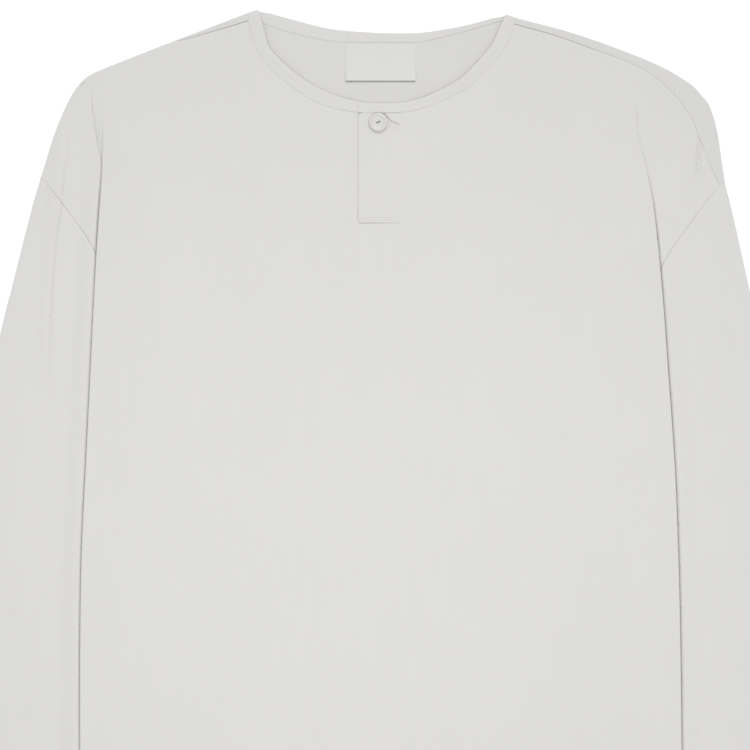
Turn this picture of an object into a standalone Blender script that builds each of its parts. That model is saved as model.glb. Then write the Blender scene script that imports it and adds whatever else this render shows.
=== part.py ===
"""Henley shirt with long sleeves and dropped shoulders, laid flat, face up.

The frame is in metres with +Z up. The shirt lies in XY with its neck towards +Y, and the
origin is on the surface it lies on, at the middle of its outline. Each piece of cloth is a
surface through sections that are worked out from the tables below, and Solidify gives it
its wall. Up to four layers of cloth lie on each other, one PITCH apart.
"""
import math
from collections import namedtuple

import bmesh
import bpy
import numpy as np
from mathutils import Vector

MM = 0.001

# Cloth, in millimetres like every table below
WALL = 1.0
PITCH = 1.6
SEAM_GAP = 0.3
FOLD_SEAM_GAP = 0.5  # where a seam runs along a fold, whose inside is tighter than its middle
FLOOR = WALL / 2  # height of the lowest layer
SECOND = FLOOR + PITCH
TURN = PITCH / 2  # radius of a fold, at the middle of the wall
EDGE = TURN + WALL / 2  # from a fold's outer edge to where the flat cloth starts
HALF_TURN = math.pi * TURN  # cloth that a fold uses
FLAT_START = 1.2  # flat cloth beside a shoulder's fold, before a panel's first row
NECK_BLEND, ARM_BLEND = 25.0, 20.0  # near a shoulder's ends its rows turn to the seams there

# Body
HEM_Y = -361.6
UNDERARM_Y = 37.0
RISE_WIDTH = 80.0  # the front slopes down to the middle over this width
RISE_START = 5.0
BACK_RISE_WIDTH = 16.0
BACK_RISE_START = 1.5
BACK_CLIMB = 12.0  # above the underarm the back climbs on to the sleeve over this height
SETTLE_START_Y, SETTLED_Y = -250.0, -305.0  # between these a side comes down off its sleeve
PLEAT_TOP = 2 * PITCH  # height of the front's fold above the cloth beside it
LEAST_DROP, LEAST_RUN = 0.02, 0.6  # of the front's fold, where it runs out
SLEEVE_CLEAR = 1.5  # from a sleeve's inner edge to where the front starts to come down

# Placket, neck and trims
SLIT_LEFT, SLIT_RIGHT, SLIT_FOOT, SLIT_TOP = -17.8, 15.4, 188.7, 287.8
LAP = 0.5  # the upper strip covers the left seam by this much
LAP_LIFT = 1.3  # upper strip and band end above the cloth they lie on
UNDER_EDGE = 6.0
UPPER_SLOPE_START, UPPER_SLOPE_END = 7.0, 12.0
BAND_SLOPE_START, BAND_SLOPE_END = 8.0, 30.0
NECK_FRONT_Y = 277.8
NECK_BACK_Y = 335.1
BUTTON_X, BUTTON_Y, BUTTON_RADIUS, BUTTON_THICK = -2.8, 270.3, 7.7, 2.6
BUTTON_HOLE_RADIUS, BUTTON_HOLE_SPACING, BUTTON_HOLE_DEPTH = 0.9, 3.6, 6.0
CLOTH_ROUGHNESS, BUTTON_ROUGHNESS = 0.9, 0.35
LABEL_X, LABEL_Y, LABEL_WIDTH, LABEL_HEIGHT, LABEL_THICK = -0.4, 319.1, 56.6, 30.8, 0.8

# Grid of each piece
NECK_ROWS, CHEST_ROWS = 10, 8
CHEST_TOP_Y = 262.0  # where a side's rows start to spread
EDGE_SPREAD, MIDDLE_SPREAD = 1.5, 1.3  # above 1, the rows lie further apart downwards
SKIRT_Y = (-45.0, -135.0, -222.0, -250.0, -275.0, -305.0, HEM_Y)
SKIRT_ROWS = len(SKIRT_Y)
ARM_ROWS = NECK_ROWS + CHEST_ROWS
PANEL_COLUMNS = 7
TURN_STEPS = 4
FINE = 6  # points worked out for each one kept in the section of the front's fold
RUN_COLUMNS = 6
SIDE_COLUMNS = 3
SLEEVE_ROWS = 9
PLACKET_ROWS = 6
TIP_SKIP = 8  # points of the neck seam left out beside a panel's corner
SHOULDER_ROWS = (0, 0.08, 0.3, 0.62, 1)
SEAM_SHARE = 0.85  # the back's last whole row on a fold, as part of the way to the seam

Side = namedtuple(
    "Side",
    "name outward shoulder seam_inset neck_direction armhole fold valley pleat_full_y"
    " neck_front neck_back sleeve_outer sleeve_inner lap_line",
)

# Each side's curves are (x, y) points. seam_inset is (part of the shoulder's length, how far
# the shoulder seam lies in from the outline). neck_front and neck_back are the neckband's
# sections from the tip of the neck to the middle: (seam x, seam y, free edge x, free edge y).
LEFT = Side(
    name="left",
    outward=-1,
    shoulder=[
        (-107.7, 359.2), (-159.6, 339.4), (-217.9, 316.7), (-237.3, 307.8),
        (-247.4, 297.5), (-256.8, 280.3), (-266.5, 255.2), (-275.8, 225.4),
    ],
    seam_inset=[(0, 6.5), (0.22, 2.6), (0.38, 0), (1, 0)],
    neck_direction=(0.09, -1),
    armhole=[
        (-275.8, 225.4), (-263.3, 210.6), (-248.7, 191.2), (-231.7, 165.2),
        (-216, 122), (-205, 84), (-199, 62), (-190, 46),
    ],
    fold=[
        (-225.2, 290.8), (-225.6, 261.6), (-226.8, 228), (-229.6, 191), (-232.5, 142.6),
        (-235.7, 77.8), (-239.8, -3.2), (-243, -68), (-244.4, -132), (-244.6, -228.4), (-244, HEM_Y),
    ],
    valley=[(-234.9, 290.4), (-232.7, 270.5), (-226.8, 234.1), (-207, 158), (-200, 110), (-194.5, 64)],
    pleat_full_y=256,
    neck_front=[
        (-107, 358.2, -99.1, 360.3), (-106.6, 348, -97.3, 348), (-103.2, 335, -93.4, 336),
        (-93.2, 317.5, -84, 323), (-73.7, 299.7, -66, 307.5), (-51, 285.9, -45, 295.4),
        (-25.1, 278.9, -21, 288.4), (0, NECK_FRONT_Y, 0, 287.2),
    ],
    neck_back=[
        (-107, 358.2, -99.1, 360.3), (-101.5, 352.8, -97.6, 360.4), (-96.4, 350.7, -94, 359.9),
        (-73.7, 343.4, -71, 353.6), (-49.4, 337.8, -47, 347.4), (-31.6, 335.4, -30, 344.8),
        (0, NECK_BACK_Y, 0, 342.8),
    ],
    sleeve_outer=[
        (-275.8, 225.4), (-284.3, 196), (-298.9, 137.7), (-308.6, 98.8), (-344, -60),
        (-376.7, -228.4), (-393.7, -319),
    ],
    sleeve_inner=[(-190, 46), (-213, -84.2), (-240.5, -228.4), (-262, -343)],
    lap_line=[(-190, 46), (-211, -84.2), (-231, -228.4), (-233, HEM_Y)],
)
RIGHT = Side(
    name="right",
    outward=1,
    shoulder=[
        (107.7, 355.6), (161.2, 341), (219.5, 319.1), (248.7, 302.9), (258.9, 293.2),
        (266.5, 283), (272.2, 264.1), (275.4, 244), (278.2, 223.6),
    ],
    seam_inset=[(0, 6.5), (0.2, 9.9), (0.5, 9.2), (0.62, 10), (0.76, 17), (0.88, 16.5), (1, 6)],
    neck_direction=(-0.09, -1),
    armhole=[
        (278.2, 223.6), (267.3, 210.6), (252.7, 191.2), (245.4, 181.4), (228, 154.7),
        (215, 122), (205, 84), (199, 62), (190, 46),
    ],
    fold=[
        (207.4, 284.3), (207.6, 266.5), (213.8, 239.8), (220.3, 207.4), (224.4, 175), (229, 126),
        (232.5, 77.8), (238.1, -3.2), (240.9, -68), (242.6, -132), (243.8, -228.4), (244, HEM_Y),
    ],
    valley=[
        (211.4, 290.4), (210.2, 280), (206.8, 264), (202.6, 223.6), (200, 158.8), (198, 110),
        (194.5, 64),
    ],
    pleat_full_y=272,
    neck_front=[
        (107, 354.5, 100.3, 356.6), (106.4, 345, 97.2, 346), (101.3, 332.1, 91.5, 335.5),
        (88.3, 315.9, 79.5, 321), (72.1, 299.7, 64.8, 306.2), (47.8, 286.7, 42.8, 294),
        (29.2, 280.3, 27, 289.3), (15.4, 278.2, 15.4, 287.3), (0, NECK_FRONT_Y, 0, 287.2),
    ],
    neck_back=[
        (107, 354.5, 100.3, 356.6), (100, 353, 96, 356.2), (90, 350.5, 88, 354.2),
        (73, 345.5, 70, 349.4), (52.7, 340.2, 51, 345.8), (28.4, 335.4, 29, 342.9),
        (0, NECK_BACK_Y, 0, 342.8),
    ],
    sleeve_outer=[
        (278.2, 223.6), (285.1, 196), (298.1, 137.7), (306.8, 98.8), (342, -60),
        (376.8, -228.4), (393.7, -319),
    ],
    sleeve_inner=[(190, 46), (213, -84.2), (240.2, -228.4), (262, -343)],
    lap_line=[(190, 46), (212, -84.2), (231, -228.4), (233, HEM_Y)],
)

COLOURS = {
    "front_panel": (0.72, 0.71, 0.70),
    "back_panel": (0.70, 0.69, 0.68),
    "sleeve_left": (0.71, 0.70, 0.69),
    "sleeve_right": (0.69, 0.68, 0.67),
    "neckband": (0.72, 0.71, 0.70),
    "placket_upper": (0.72, 0.71, 0.70),
    "placket_under": (0.71, 0.70, 0.69),
    "button": (0.75, 0.74, 0.72),
    "label": (0.80, 0.80, 0.79),
}


# ---------------------------------------------------------------- curves and grids


def smooth(amount):
    """0 to 1 with no corner at either end."""
    amount = np.clip(amount, 0.0, 1.0)
    return amount * amount * (3 - 2 * amount)


def curve(points, steps=10):
    """Closely spaced points of the smooth curve through `points`."""
    points = np.asarray(points, float)
    ends = [2 * points[0] - points[1], *points, 2 * points[-1] - points[-2]]
    found = []
    for before, start, end, after in zip(ends, ends[1:], ends[2:], ends[3:]):
        for t in np.arange(steps) / steps:
            found.append(
                start
                + 0.5 * t * (end - before)
                + t * t * (before - 2.5 * start + 2 * end - 0.5 * after)
                + t**3 * 0.5 * (3 * (start - end) + after - before)
            )
    found.append(points[-1])
    return np.array(found)


def lengths_of(line):
    return np.concatenate([[0], np.cumsum(np.linalg.norm(np.diff(line, axis=0), axis=1))])


def along(line, parts):
    """The points at the given parts, from 0 to 1, of a line's length."""
    lengths = lengths_of(line)
    at = np.asarray(parts, float) * lengths[-1]
    return np.stack([np.interp(at, lengths, line[:, axis]) for axis in range(line.shape[1])], axis=-1)


def at_heights(line, heights):
    """The points of a line that runs down the shirt where it crosses the given y."""
    x = np.interp(-np.asarray(heights), -line[:, 1], line[:, 0])
    return np.stack([x, heights], axis=-1)


def inward(side, line):
    """Unit normals of a line that starts at the shoulder, towards the body."""
    run = np.gradient(line, axis=0)
    run /= np.linalg.norm(run, axis=1)[:, None]
    return -side.outward * np.stack([-run[:, 1], run[:, 0]], axis=-1)


def moved_in(side, line, distance):
    return line + inward(side, line) * distance


def patch(top, bottom, inner, outer):
    """Grid of points between four lines that meet at their ends, in rows from top to bottom."""
    down = np.linspace(0, 1, len(inner))[:, None, None]
    across = np.linspace(0, 1, len(top))[None, :, None]
    ends = (
        (1 - across) * (1 - down) * top[0]
        + across * (1 - down) * top[-1]
        + (1 - across) * down * bottom[0]
        + across * down * bottom[-1]
    )
    return (
        (1 - down) * top[None]
        + down * bottom[None]
        + (1 - across) * inner[:, None]
        + across * outer[:, None]
        - ends
    )


def raised(plan, height):
    """Plan points with a height, which may differ from point to point."""
    height = np.broadcast_to(np.asarray(height, float), plan.shape[:-1])
    return np.concatenate([plan, height[..., None]], axis=-1)


# ---------------------------------------------------------------- shoulders


def shoulder_points(side, parts, inset):
    """Plan points at parts of the shoulder's length, `inset` in from the outline.

    At its ends the direction inwards is that of the neck seam and of the armhole seam.
    """
    line = curve(side.shoulder)
    total = lengths_of(line)[-1]
    share = lengths_of(line) / total
    normal = np.stack([np.interp(parts, share, axis) for axis in inward(side, line).T], axis=-1)
    near_neck = 1 - smooth(parts * total / NECK_BLEND)
    near_arm = 1 - smooth((1 - parts) * total / ARM_BLEND)
    for weight, run in ((near_neck, np.array(side.neck_direction)), (near_arm, armhole_run(side))):
        run = run / np.linalg.norm(run)
        normal = normal * (1 - weight[:, None]) + run * weight[:, None]
    normal /= np.linalg.norm(normal, axis=1)[:, None]
    return along(line, parts) + normal * np.asarray(inset, float)[..., None]


def over_shoulder(side, parts, lengths):
    """Points of the cloth that folds forward over the shoulder; length 0 is where the fold starts."""
    angle = np.clip(lengths, 0, HALF_TURN) / TURN
    flat = np.maximum(lengths - HALF_TURN, 0) + np.maximum(-lengths, 0)
    plan = shoulder_points(side, parts, EDGE - TURN * np.sin(angle) + flat)
    return raised(plan, FLOOR + TURN * (1 - np.cos(angle)))


def seam_lengths(side, parts):
    """How far over the fold the shoulder seam lies, as a length of cloth."""
    where, inset = np.array(side.seam_inset, float).T
    inset = np.interp(parts, where, inset)
    on_fold = HALF_TURN / 2 * (1 + inset / EDGE)
    return np.where(inset > EDGE, HALF_TURN + inset - EDGE, on_fold)


def shoulder_parts(side):
    """Parts of the shoulder's length at the panels' columns: up to the fold, over it, and beyond."""
    line = curve(side.shoulder)
    total = lengths_of(line)[-1]
    across = line[:, 0] * side.outward
    ends = [side.fold[0][0] * side.outward, side.valley[0][0] * side.outward]
    fold, valley = np.interp(ends, across, lengths_of(line) / total)
    main = np.linspace(0.5 / total, fold, PANEL_COLUMNS + 1)
    pleated = np.linspace(fold, valley, 3 * TURN_STEPS + 1)
    outer = np.linspace(valley, 1 - SEAM_GAP / 2 / total, RUN_COLUMNS + 1)
    return main, pleated, outer


# ---------------------------------------------------------------- armhole and neck seams


def armhole_run(side):
    """Direction of the armhole seam where it leaves the outline."""
    line = along(curve(side.armhole), np.linspace(0, 1, ARM_ROWS + 1))
    return line[1] - line[0]


def armhole_line(side, gap):
    """The armhole seam's points, which all its pieces share, moved by `gap` towards the body."""
    return moved_in(side, along(curve(side.armhole), np.linspace(0, 1, ARM_ROWS + 1)), gap)


def neck_line(side, sections, corner, gap):
    """The neck seam's points from a panel's corner to the middle, moved by `gap` towards the band."""
    seam = curve(sections)[:, :2]
    line = np.vstack([corner, seam[np.linalg.norm(seam - corner, axis=1).argmin() + TIP_SKIP :]])
    line = along(line, np.linspace(0, 1, NECK_ROWS + 1))
    moved = moved_in(side, line, gap)
    moved[-1] = line[-1] + (0, gap)
    return moved


# ---------------------------------------------------------------- front


def fold_rows(side, top_y):
    """The y of each row at the side fold, from the shoulder to the hem."""
    neck = np.linspace(top_y, CHEST_TOP_Y, NECK_ROWS + 1)
    spread = np.linspace(0, 1, CHEST_ROWS + 1) ** EDGE_SPREAD
    chest = CHEST_TOP_Y + (UNDERARM_Y - CHEST_TOP_Y) * spread
    return np.concatenate([neck, chest[1:], SKIRT_Y])


def middle_rows(neck_y):
    """The y of each row on the middle line, below the neck."""
    spread = np.linspace(0, 1, CHEST_ROWS + 1) ** MIDDLE_SPREAD
    chest = neck_y + (UNDERARM_Y - neck_y) * spread
    return np.concatenate([chest, SKIRT_Y])


def settle(y):
    """1 while a side of the body lies on its sleeve, 0 below the sleeve's reach."""
    return smooth((np.asarray(y) - SETTLED_Y) / (SETTLE_START_Y - SETTLED_Y))


def pleat(drop, hang):
    """Section through the front's fold: (outward, up) from where the upper cloth starts to turn.

    `hang` is how far the fold hangs over the cloth under it; below 0 it's a slope that wide.
    """
    radius = drop / 4
    run = max(abs(hang), LEAST_RUN)
    turn = math.pi if hang >= 0 else 2 * math.atan2(drop / 2, run)
    steps = np.linspace(0, 1, FINE * TURN_STEPS + 1)
    first = np.stack([radius * np.sin(turn * steps), radius * (np.cos(turn * steps) - 1)], axis=-1)
    middle = first[-1] + run * steps[:, None] * np.array([math.cos(turn), -math.sin(turn)])
    left = turn * (1 - steps)
    last = middle[-1] + radius * np.stack(
        [math.sin(turn) - np.sin(left), math.cos(turn) - np.cos(left)], axis=-1
    )
    section = np.vstack([first, middle[1:], last[1:]])
    lengths = lengths_of(section)
    exact = lengths[::FINE]
    even = np.linspace(0, lengths[-1], len(exact))
    sharp = turn / math.pi
    at = even + (exact - even) * sharp
    return np.stack([np.interp(at, lengths, section[:, axis]) for axis in (0, 1)], axis=-1)


def front_half(side):
    """Grids of the front from its middle line to one side, sharing the points where they meet."""
    main, pleated, outer = shoulder_parts(side)

    def over(parts):
        start = seam_lengths(side, parts) + FOLD_SEAM_GAP / 2
        end = np.maximum(start, HALF_TURN) + FLAT_START
        return np.array([over_shoulder(side, parts, start + (end - start) * row) for row in SHOULDER_ROWS])

    over_main, over_pleat, over_outer = over(main), over(pleated), over(outer)

    # the side fold and the valley behind it, row by row
    fold = curve([over_main[-1, -1, :2], *side.fold])
    fold_y = fold_rows(side, over_main[-1, -1, 1])
    edge = at_heights(fold, fold_y)
    start = edge - np.array([side.outward * EDGE, 0])
    start[0] = over_main[-1, -1, :2]
    chest = np.clip((np.arange(ARM_ROWS + 1) - NECK_ROWS) / CHEST_ROWS, 0, 1)
    valley_y = fold_y[: ARM_ROWS + 1] + (side.valley[-1][1] - UNDERARM_Y) * chest**2
    valley = at_heights(curve([over_outer[-1, 0, :2], *side.valley]), valley_y)
    hang = (edge[: ARM_ROWS + 1, 0] - valley[:, 0]) * side.outward
    top_y = over_main[-1, -1, 1]
    drop = PLEAT_TOP * smooth((top_y - fold_y) / (top_y - side.pleat_full_y)) * settle(fold_y)

    # upper cloth, from the middle line to the fold
    neck = neck_line(side, side.neck_front, over_main[-1, 0, :2], -SEAM_GAP / 2)
    neck[0] = over_main[-1, 0, :2]
    middle_y = middle_rows(neck[-1, 1])
    middle = np.stack([np.zeros(len(middle_y)), middle_y], axis=-1)
    hem = np.linspace(middle[-1], start[-1], PANEL_COLUMNS + 1)
    plan = patch(over_main[-1, :, :2], hem, np.vstack([neck, middle[1:]]), start)
    sleeve_edge = at_heights(curve(side.sleeve_inner), fold_y)[:, 0] - side.outward * SLEEVE_CLEAR
    lifted_to = start[:, 0] * side.outward
    lifted_to[: ARM_ROWS + 1] -= np.maximum(hang, 0) + 2 * EDGE
    lifted_to[ARM_ROWS + 1 :] = np.minimum(
        lifted_to[ARM_ROWS + 1 :], sleeve_edge[ARM_ROWS + 1 :] * side.outward
    )
    away = lifted_to[:, None] - plan[..., 0] * side.outward
    lift = drop[:, None] * (1 - smooth((away - RISE_START) / RISE_WIDTH))
    lift[:, -1] = drop
    upper = raised(plan, SECOND + lift)
    grids = [np.vstack([over_main[:-1], upper])]

    # the fold: down, back in and out again above the underarm, and half of that below it
    folds, turns = [], []
    for row in range(len(fold_y)):
        in_chest = row <= ARM_ROWS
        section = pleat(max(drop[row], LEAST_DROP), hang[row]) if in_chest else pleat(PLEAT_TOP, 0)
        plan = start[row] + np.outer(section[:, 0], [side.outward, 0])
        if in_chest:
            share = (np.arange(len(section)) - TURN_STEPS) / TURN_STEPS
            plan[:, 1] += (valley_y[row] - fold_y[row]) * np.clip(share, 0, 1)
            folds.append(raised(plan, SECOND + drop[row] + section[:, 1]))
        if row >= ARM_ROWS:
            turns.append(raised(plan, SECOND + drop[row] + section[:, 1])[: TURN_STEPS + 1])
    folds[0] = over_pleat[-1]
    grids.append(np.vstack([over_pleat[:-1], folds]))
    grids.append(np.array(turns))

    # lower cloth, out to the armhole seam
    seam = armhole_line(side, SEAM_GAP / 2)
    seam[0] = over_outer[-1, -1, :2]
    seam = np.vstack([seam[:-3], (seam[-4] + seam[-3]) / 2, seam[-3], (3 * seam[-3] + seam[-2]) / 4])
    inner = np.array(folds)[:, -1, :2]
    foot = np.linspace(inner[-1], seam[-1], RUN_COLUMNS + 1)
    lower = raised(patch(over_outer[-1, :, :2], foot, inner, seam), SECOND)
    grids.append(np.vstack([over_outer[:-1], lower]))
    return grids


# ---------------------------------------------------------------- back


def back_lift(side, plan):
    """How far the back is lifted where it lies on its sleeve."""
    x = plan[..., 0] * side.outward
    y = plan[..., 1]
    sleeve = curve(side.sleeve_inner)
    fold = curve(side.fold)
    sleeve_x = np.interp(-y, -sleeve[:, 1], sleeve[:, 0]) * side.outward
    fold_x = np.interp(-y, -fold[:, 1], fold[:, 0]) * side.outward
    away = np.minimum(sleeve_x, fold_x - EDGE) - x
    on_sleeve = 1 - smooth((away - BACK_RISE_START) / BACK_RISE_WIDTH)
    above = smooth((side.armhole[-1][1] + BACK_CLIMB + 2 - y) / BACK_CLIMB)
    return PLEAT_TOP * on_sleeve * above * settle(y)


def back_half(side):
    """Grids of the back from its middle line to one side."""
    main, pleated, outer = shoulder_parts(side)
    parts = np.concatenate([main, pleated[TURN_STEPS:-1:TURN_STEPS], outer])
    seam = seam_lengths(side, parts) - FOLD_SEAM_GAP / 2
    fold = np.minimum(HALF_TURN, SEAM_SHARE * seam)
    rows = [over_shoulder(side, parts, seam)]
    rows += [over_shoulder(side, parts, fold * share) for share in np.linspace(1, 0, TURN_STEPS + 1)]
    top = over_shoulder(side, parts, np.full(len(parts), -FLAT_START))

    neck = neck_line(side, side.neck_back, top[0, :2], -SEAM_GAP / 2)
    neck[0] = top[0, :2]
    middle_y = middle_rows(neck[-1, 1])
    middle = np.stack([np.zeros(len(middle_y)), middle_y], axis=-1)
    armhole = armhole_line(side, SEAM_GAP / 2)
    armhole[0] = top[-1, :2]
    lap = at_heights(curve(side.lap_line), np.array([side.lap_line[0][1], *SKIRT_Y]))
    lap[0] = armhole[-1]
    outer = np.vstack([armhole, lap[1:]])
    hem = np.linspace(middle[-1], outer[-1], len(parts))
    plan = patch(top[:, :2], hem, np.vstack([neck, middle[1:]]), outer)
    main = raised(plan, FLOOR + back_lift(side, plan))

    # the stretch that lies on the sleeve, out to the side seam
    edge = at_heights(curve(side.fold), np.array([UNDERARM_Y, *SKIRT_Y]))
    edge[:, 0] -= side.outward * (EDGE + SEAM_GAP)
    edge[0, 1] -= 2 * SEAM_GAP
    top_edge = np.linspace(lap[0], edge[0], SIDE_COLUMNS + 1)
    hem = np.linspace(lap[-1], edge[-1], SIDE_COLUMNS + 1)
    plan = patch(top_edge, hem, lap, edge)
    beside = raised(plan, FLOOR + back_lift(side, plan))
    return [np.vstack([rows, main]), beside]


# ---------------------------------------------------------------- sleeves and neckband


def turned(points, run, up):
    """The rows between two layers where cloth turns over, outwards along `run`."""
    hand = -1 if up else 1
    middle = (FLOOR + SECOND) / 2
    return [
        raised(points + run * TURN * math.sin(angle), middle + hand * TURN * math.cos(angle))
        for angle in np.linspace(0, math.pi, TURN_STEPS + 1)[1:-1]
    ]


def sleeve_sections(side):
    """Flattened rings from the armhole to the cuff: front, inner fold, back, outer fold."""
    steps = np.linspace(0, 1, SLEEVE_ROWS + 1)
    armhole = armhole_line(side, -SEAM_GAP / 2)
    outline = along(curve(side.sleeve_outer), steps)
    under = along(curve(side.sleeve_inner), steps)
    outline[0], under[0] = armhole[0], armhole[-1]
    outer_run, under_run = -inward(side, outline), inward(side, under)
    outer_run[0] = (armhole[0] - armhole[1]) / np.linalg.norm(armhole[0] - armhole[1])
    under_run[0] = (armhole[-1] - armhole[-2]) / np.linalg.norm(armhole[-1] - armhole[-2])
    outer, inner = outline - outer_run * EDGE, under - under_run * EDGE
    armhole[0], armhole[-1] = outer[0], inner[0]
    cuff = np.linspace(outer[-1], inner[-1], ARM_ROWS + 1)
    plan = patch(armhole, cuff, outer, inner)
    ring = [raised(plan[:, column], SECOND) for column in range(ARM_ROWS + 1)]
    ring += turned(inner, under_run, up=False)
    ring += [raised(plan[:, column], FLOOR) for column in range(ARM_ROWS, -1, -1)]
    ring += turned(outer, outer_run, up=True)
    ring.append(ring[0])
    return np.stack(ring, axis=1)


def band_stretch(side, sections, corner):
    """The neckband's sections from a tip of the neck to the middle, one at each point of the seam."""
    table = curve(sections)
    seam = neck_line(side, sections, corner, SEAM_GAP / 2)
    nearest = [np.linalg.norm(table[:, :2] - point, axis=1).argmin() for point in seam]
    found = np.hstack([seam, table[nearest, 2:]]).reshape(-1, 2, 2)
    found[0] = (seam[0] + seam[1]) / 2, table[nearest[1] // 2, 2:]
    return np.vstack([table[:1].reshape(1, 2, 2), found])


def band_sections():
    """The neckband from its under end, round the neck to its upper end."""
    stretches = []
    for side in (LEFT, RIGHT):
        parts = shoulder_parts(side)[0][:1]
        length = seam_lengths(side, parts) + FOLD_SEAM_GAP / 2
        front_corner = over_shoulder(side, parts, length + FLAT_START)[0, :2]
        back_corner = over_shoulder(side, parts, np.array([-FLAT_START]))[0, :2]
        stretches.append(band_stretch(side, side.neck_front, front_corner))
        stretches.append(band_stretch(side, side.neck_back, back_corner))
    left_front, left_back, right_front, right_back = stretches
    under_end = left_front[-1] + (UNDER_EDGE, 0)
    upper_end = [right_front[-1] + ((SLIT_LEFT - LAP) * part, SEAM_GAP * part) for part in (0.5, 1)]
    right_front = np.vstack([right_front, upper_end])

    def tip(section):
        across = section[1] - section[0]
        out = np.array([-across[1], across[0]]) * np.sign(across[0])
        return out / np.linalg.norm(out)

    slope = (right_front[:, 0, 0] - BAND_SLOPE_START) / (BAND_SLOPE_END - BAND_SLOPE_START)
    sections = [raised(under_end, SECOND)]
    sections += [raised(section, SECOND) for section in left_front[::-1]]
    sections += turned(left_front[0], tip(left_front[0]), up=False)
    sections += [raised(section, FLOOR) for section in left_back]
    sections += [raised(section, FLOOR) for section in right_back[-2::-1]]
    sections += turned(right_front[0], tip(right_front[0]), up=True)
    lift = LAP_LIFT * (1 - smooth(slope))
    sections += [raised(section, SECOND + height) for section, height in zip(right_front, lift)]
    pairs = np.array(sections)
    middle = pairs.mean(axis=1, keepdims=True)
    return np.concatenate([pairs[:, :1], middle, pairs[:, 1:]], axis=1)


# ---------------------------------------------------------------- objects


def material(name):
    made = bpy.data.materials.new(name)
    made.use_nodes = True
    shader = made.node_tree.nodes["Principled BSDF"]
    shader.inputs["Base Color"].default_value = (*COLOURS[name], 1)
    shader.inputs["Roughness"].default_value = BUTTON_ROUGHNESS if name == "button" else CLOTH_ROUGHNESS
    shader.inputs["Metallic"].default_value = 0
    return made


def add_grid(mesh, points):
    """A grid of faces on rows and columns of points."""
    rows, columns = points.shape[:2]
    made = bmesh.ops.create_grid(mesh, x_segments=columns - 1, y_segments=rows - 1, size=0.5)
    for vertex in made["verts"]:
        column = round((vertex.co.x + 0.5) * (columns - 1))
        row = round((0.5 - vertex.co.y) * (rows - 1))
        vertex.co = Vector(points[row, column] * MM)


def cloth(name, grids, collection, wall=WALL):
    """One piece of cloth: grids welded where they share points, with a wall."""
    mesh = bmesh.new()
    for points in grids:
        add_grid(mesh, points)
    bmesh.ops.remove_doubles(mesh, verts=mesh.verts, dist=0.02 * MM)
    bmesh.ops.recalc_face_normals(mesh, faces=mesh.faces)
    data = bpy.data.meshes.new(name)
    mesh.to_mesh(data)
    mesh.free()
    piece = bpy.data.objects.new(name, data)
    data.materials.append(material(name))
    data.shade_smooth()
    collection.objects.link(piece)
    solid = piece.modifiers.new("wall", "SOLIDIFY")
    solid.thickness = wall * MM
    solid.offset = 0
    return piece


def cutter(name, mesh, collection):
    """A closed mesh that only cuts."""
    data = bpy.data.meshes.new(name)
    mesh.to_mesh(data)
    mesh.free()
    made = bpy.data.objects.new(name, data)
    made.display_type = "WIRE"
    made.hide_render = True
    collection.objects.link(made)
    return made


def cut(piece, tool):
    boolean = piece.modifiers.new("cut", "BOOLEAN")
    boolean.operation = "DIFFERENCE"
    boolean.solver = "EXACT"
    boolean.object = tool


def slit(collection):
    mesh = bmesh.new()
    bmesh.ops.create_cube(mesh, size=1)
    size = Vector((SLIT_RIGHT - SLIT_LEFT, SLIT_TOP - SLIT_FOOT, 3 * WALL))
    centre = Vector(((SLIT_RIGHT + SLIT_LEFT) / 2, (SLIT_TOP + SLIT_FOOT) / 2, SECOND))
    bmesh.ops.scale(mesh, vec=size * MM, verts=mesh.verts)
    bmesh.ops.translate(mesh, vec=centre * MM, verts=mesh.verts)
    return cutter("slit", mesh, collection)


def front_panel(parts, cutters):
    piece = cloth("front_panel", front_half(LEFT) + front_half(RIGHT), parts)
    cut(piece, slit(cutters))


def back_panel(parts):
    cloth("back_panel", back_half(LEFT) + back_half(RIGHT), parts)


def sleeve(side, parts):
    cloth(f"sleeve_{side.name}", [sleeve_sections(side)], parts)


def neckband(parts):
    cloth("neckband", [band_sections()], parts)


def neck_seam_y(x):
    line = np.vstack([curve(LEFT.neck_front), curve(RIGHT.neck_front)[::-1]])
    return np.interp(x, line[:, 0], line[:, 1])


def strip(x, height):
    """Rows of a placket strip, from the neck seam to the slit's foot."""
    x = np.asarray(x, float)
    top = np.stack([x, neck_seam_y(x) - 2 * SEAM_GAP], axis=-1)
    foot = np.stack([x, np.full(len(x), SLIT_FOOT + SEAM_GAP)], axis=-1)
    shares = np.linspace(0, 1, PLACKET_ROWS + 1)
    return np.array([raised(top + (foot - top) * share, height) for share in shares])


def placket(parts):
    under_x = np.linspace(SLIT_LEFT + SEAM_GAP, UNDER_EDGE, 5)
    cloth("placket_under", [strip(under_x, SECOND)], parts)
    flat_x = np.linspace(SLIT_LEFT - LAP, UPPER_SLOPE_START, 5)
    upper_x = np.array([*flat_x, 9, UPPER_SLOPE_END, SLIT_RIGHT - SEAM_GAP])
    slope = (upper_x - UPPER_SLOPE_START) / (UPPER_SLOPE_END - UPPER_SLOPE_START)
    cloth("placket_upper", [strip(upper_x, SECOND + LAP_LIFT * (1 - smooth(slope)))], parts)


def label(parts):
    left, right = LABEL_X - LABEL_WIDTH / 2, LABEL_X + LABEL_WIDTH / 2
    top, foot = LABEL_Y + LABEL_HEIGHT / 2, LABEL_Y - LABEL_HEIGHT / 2
    corners = np.array([[(left, top), (right, top)], [(left, foot), (right, foot)]])
    height = FLOOR + WALL / 2 + SEAM_GAP + LABEL_THICK / 2
    cloth("label", [raised(corners, height)], parts, LABEL_THICK)


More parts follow.
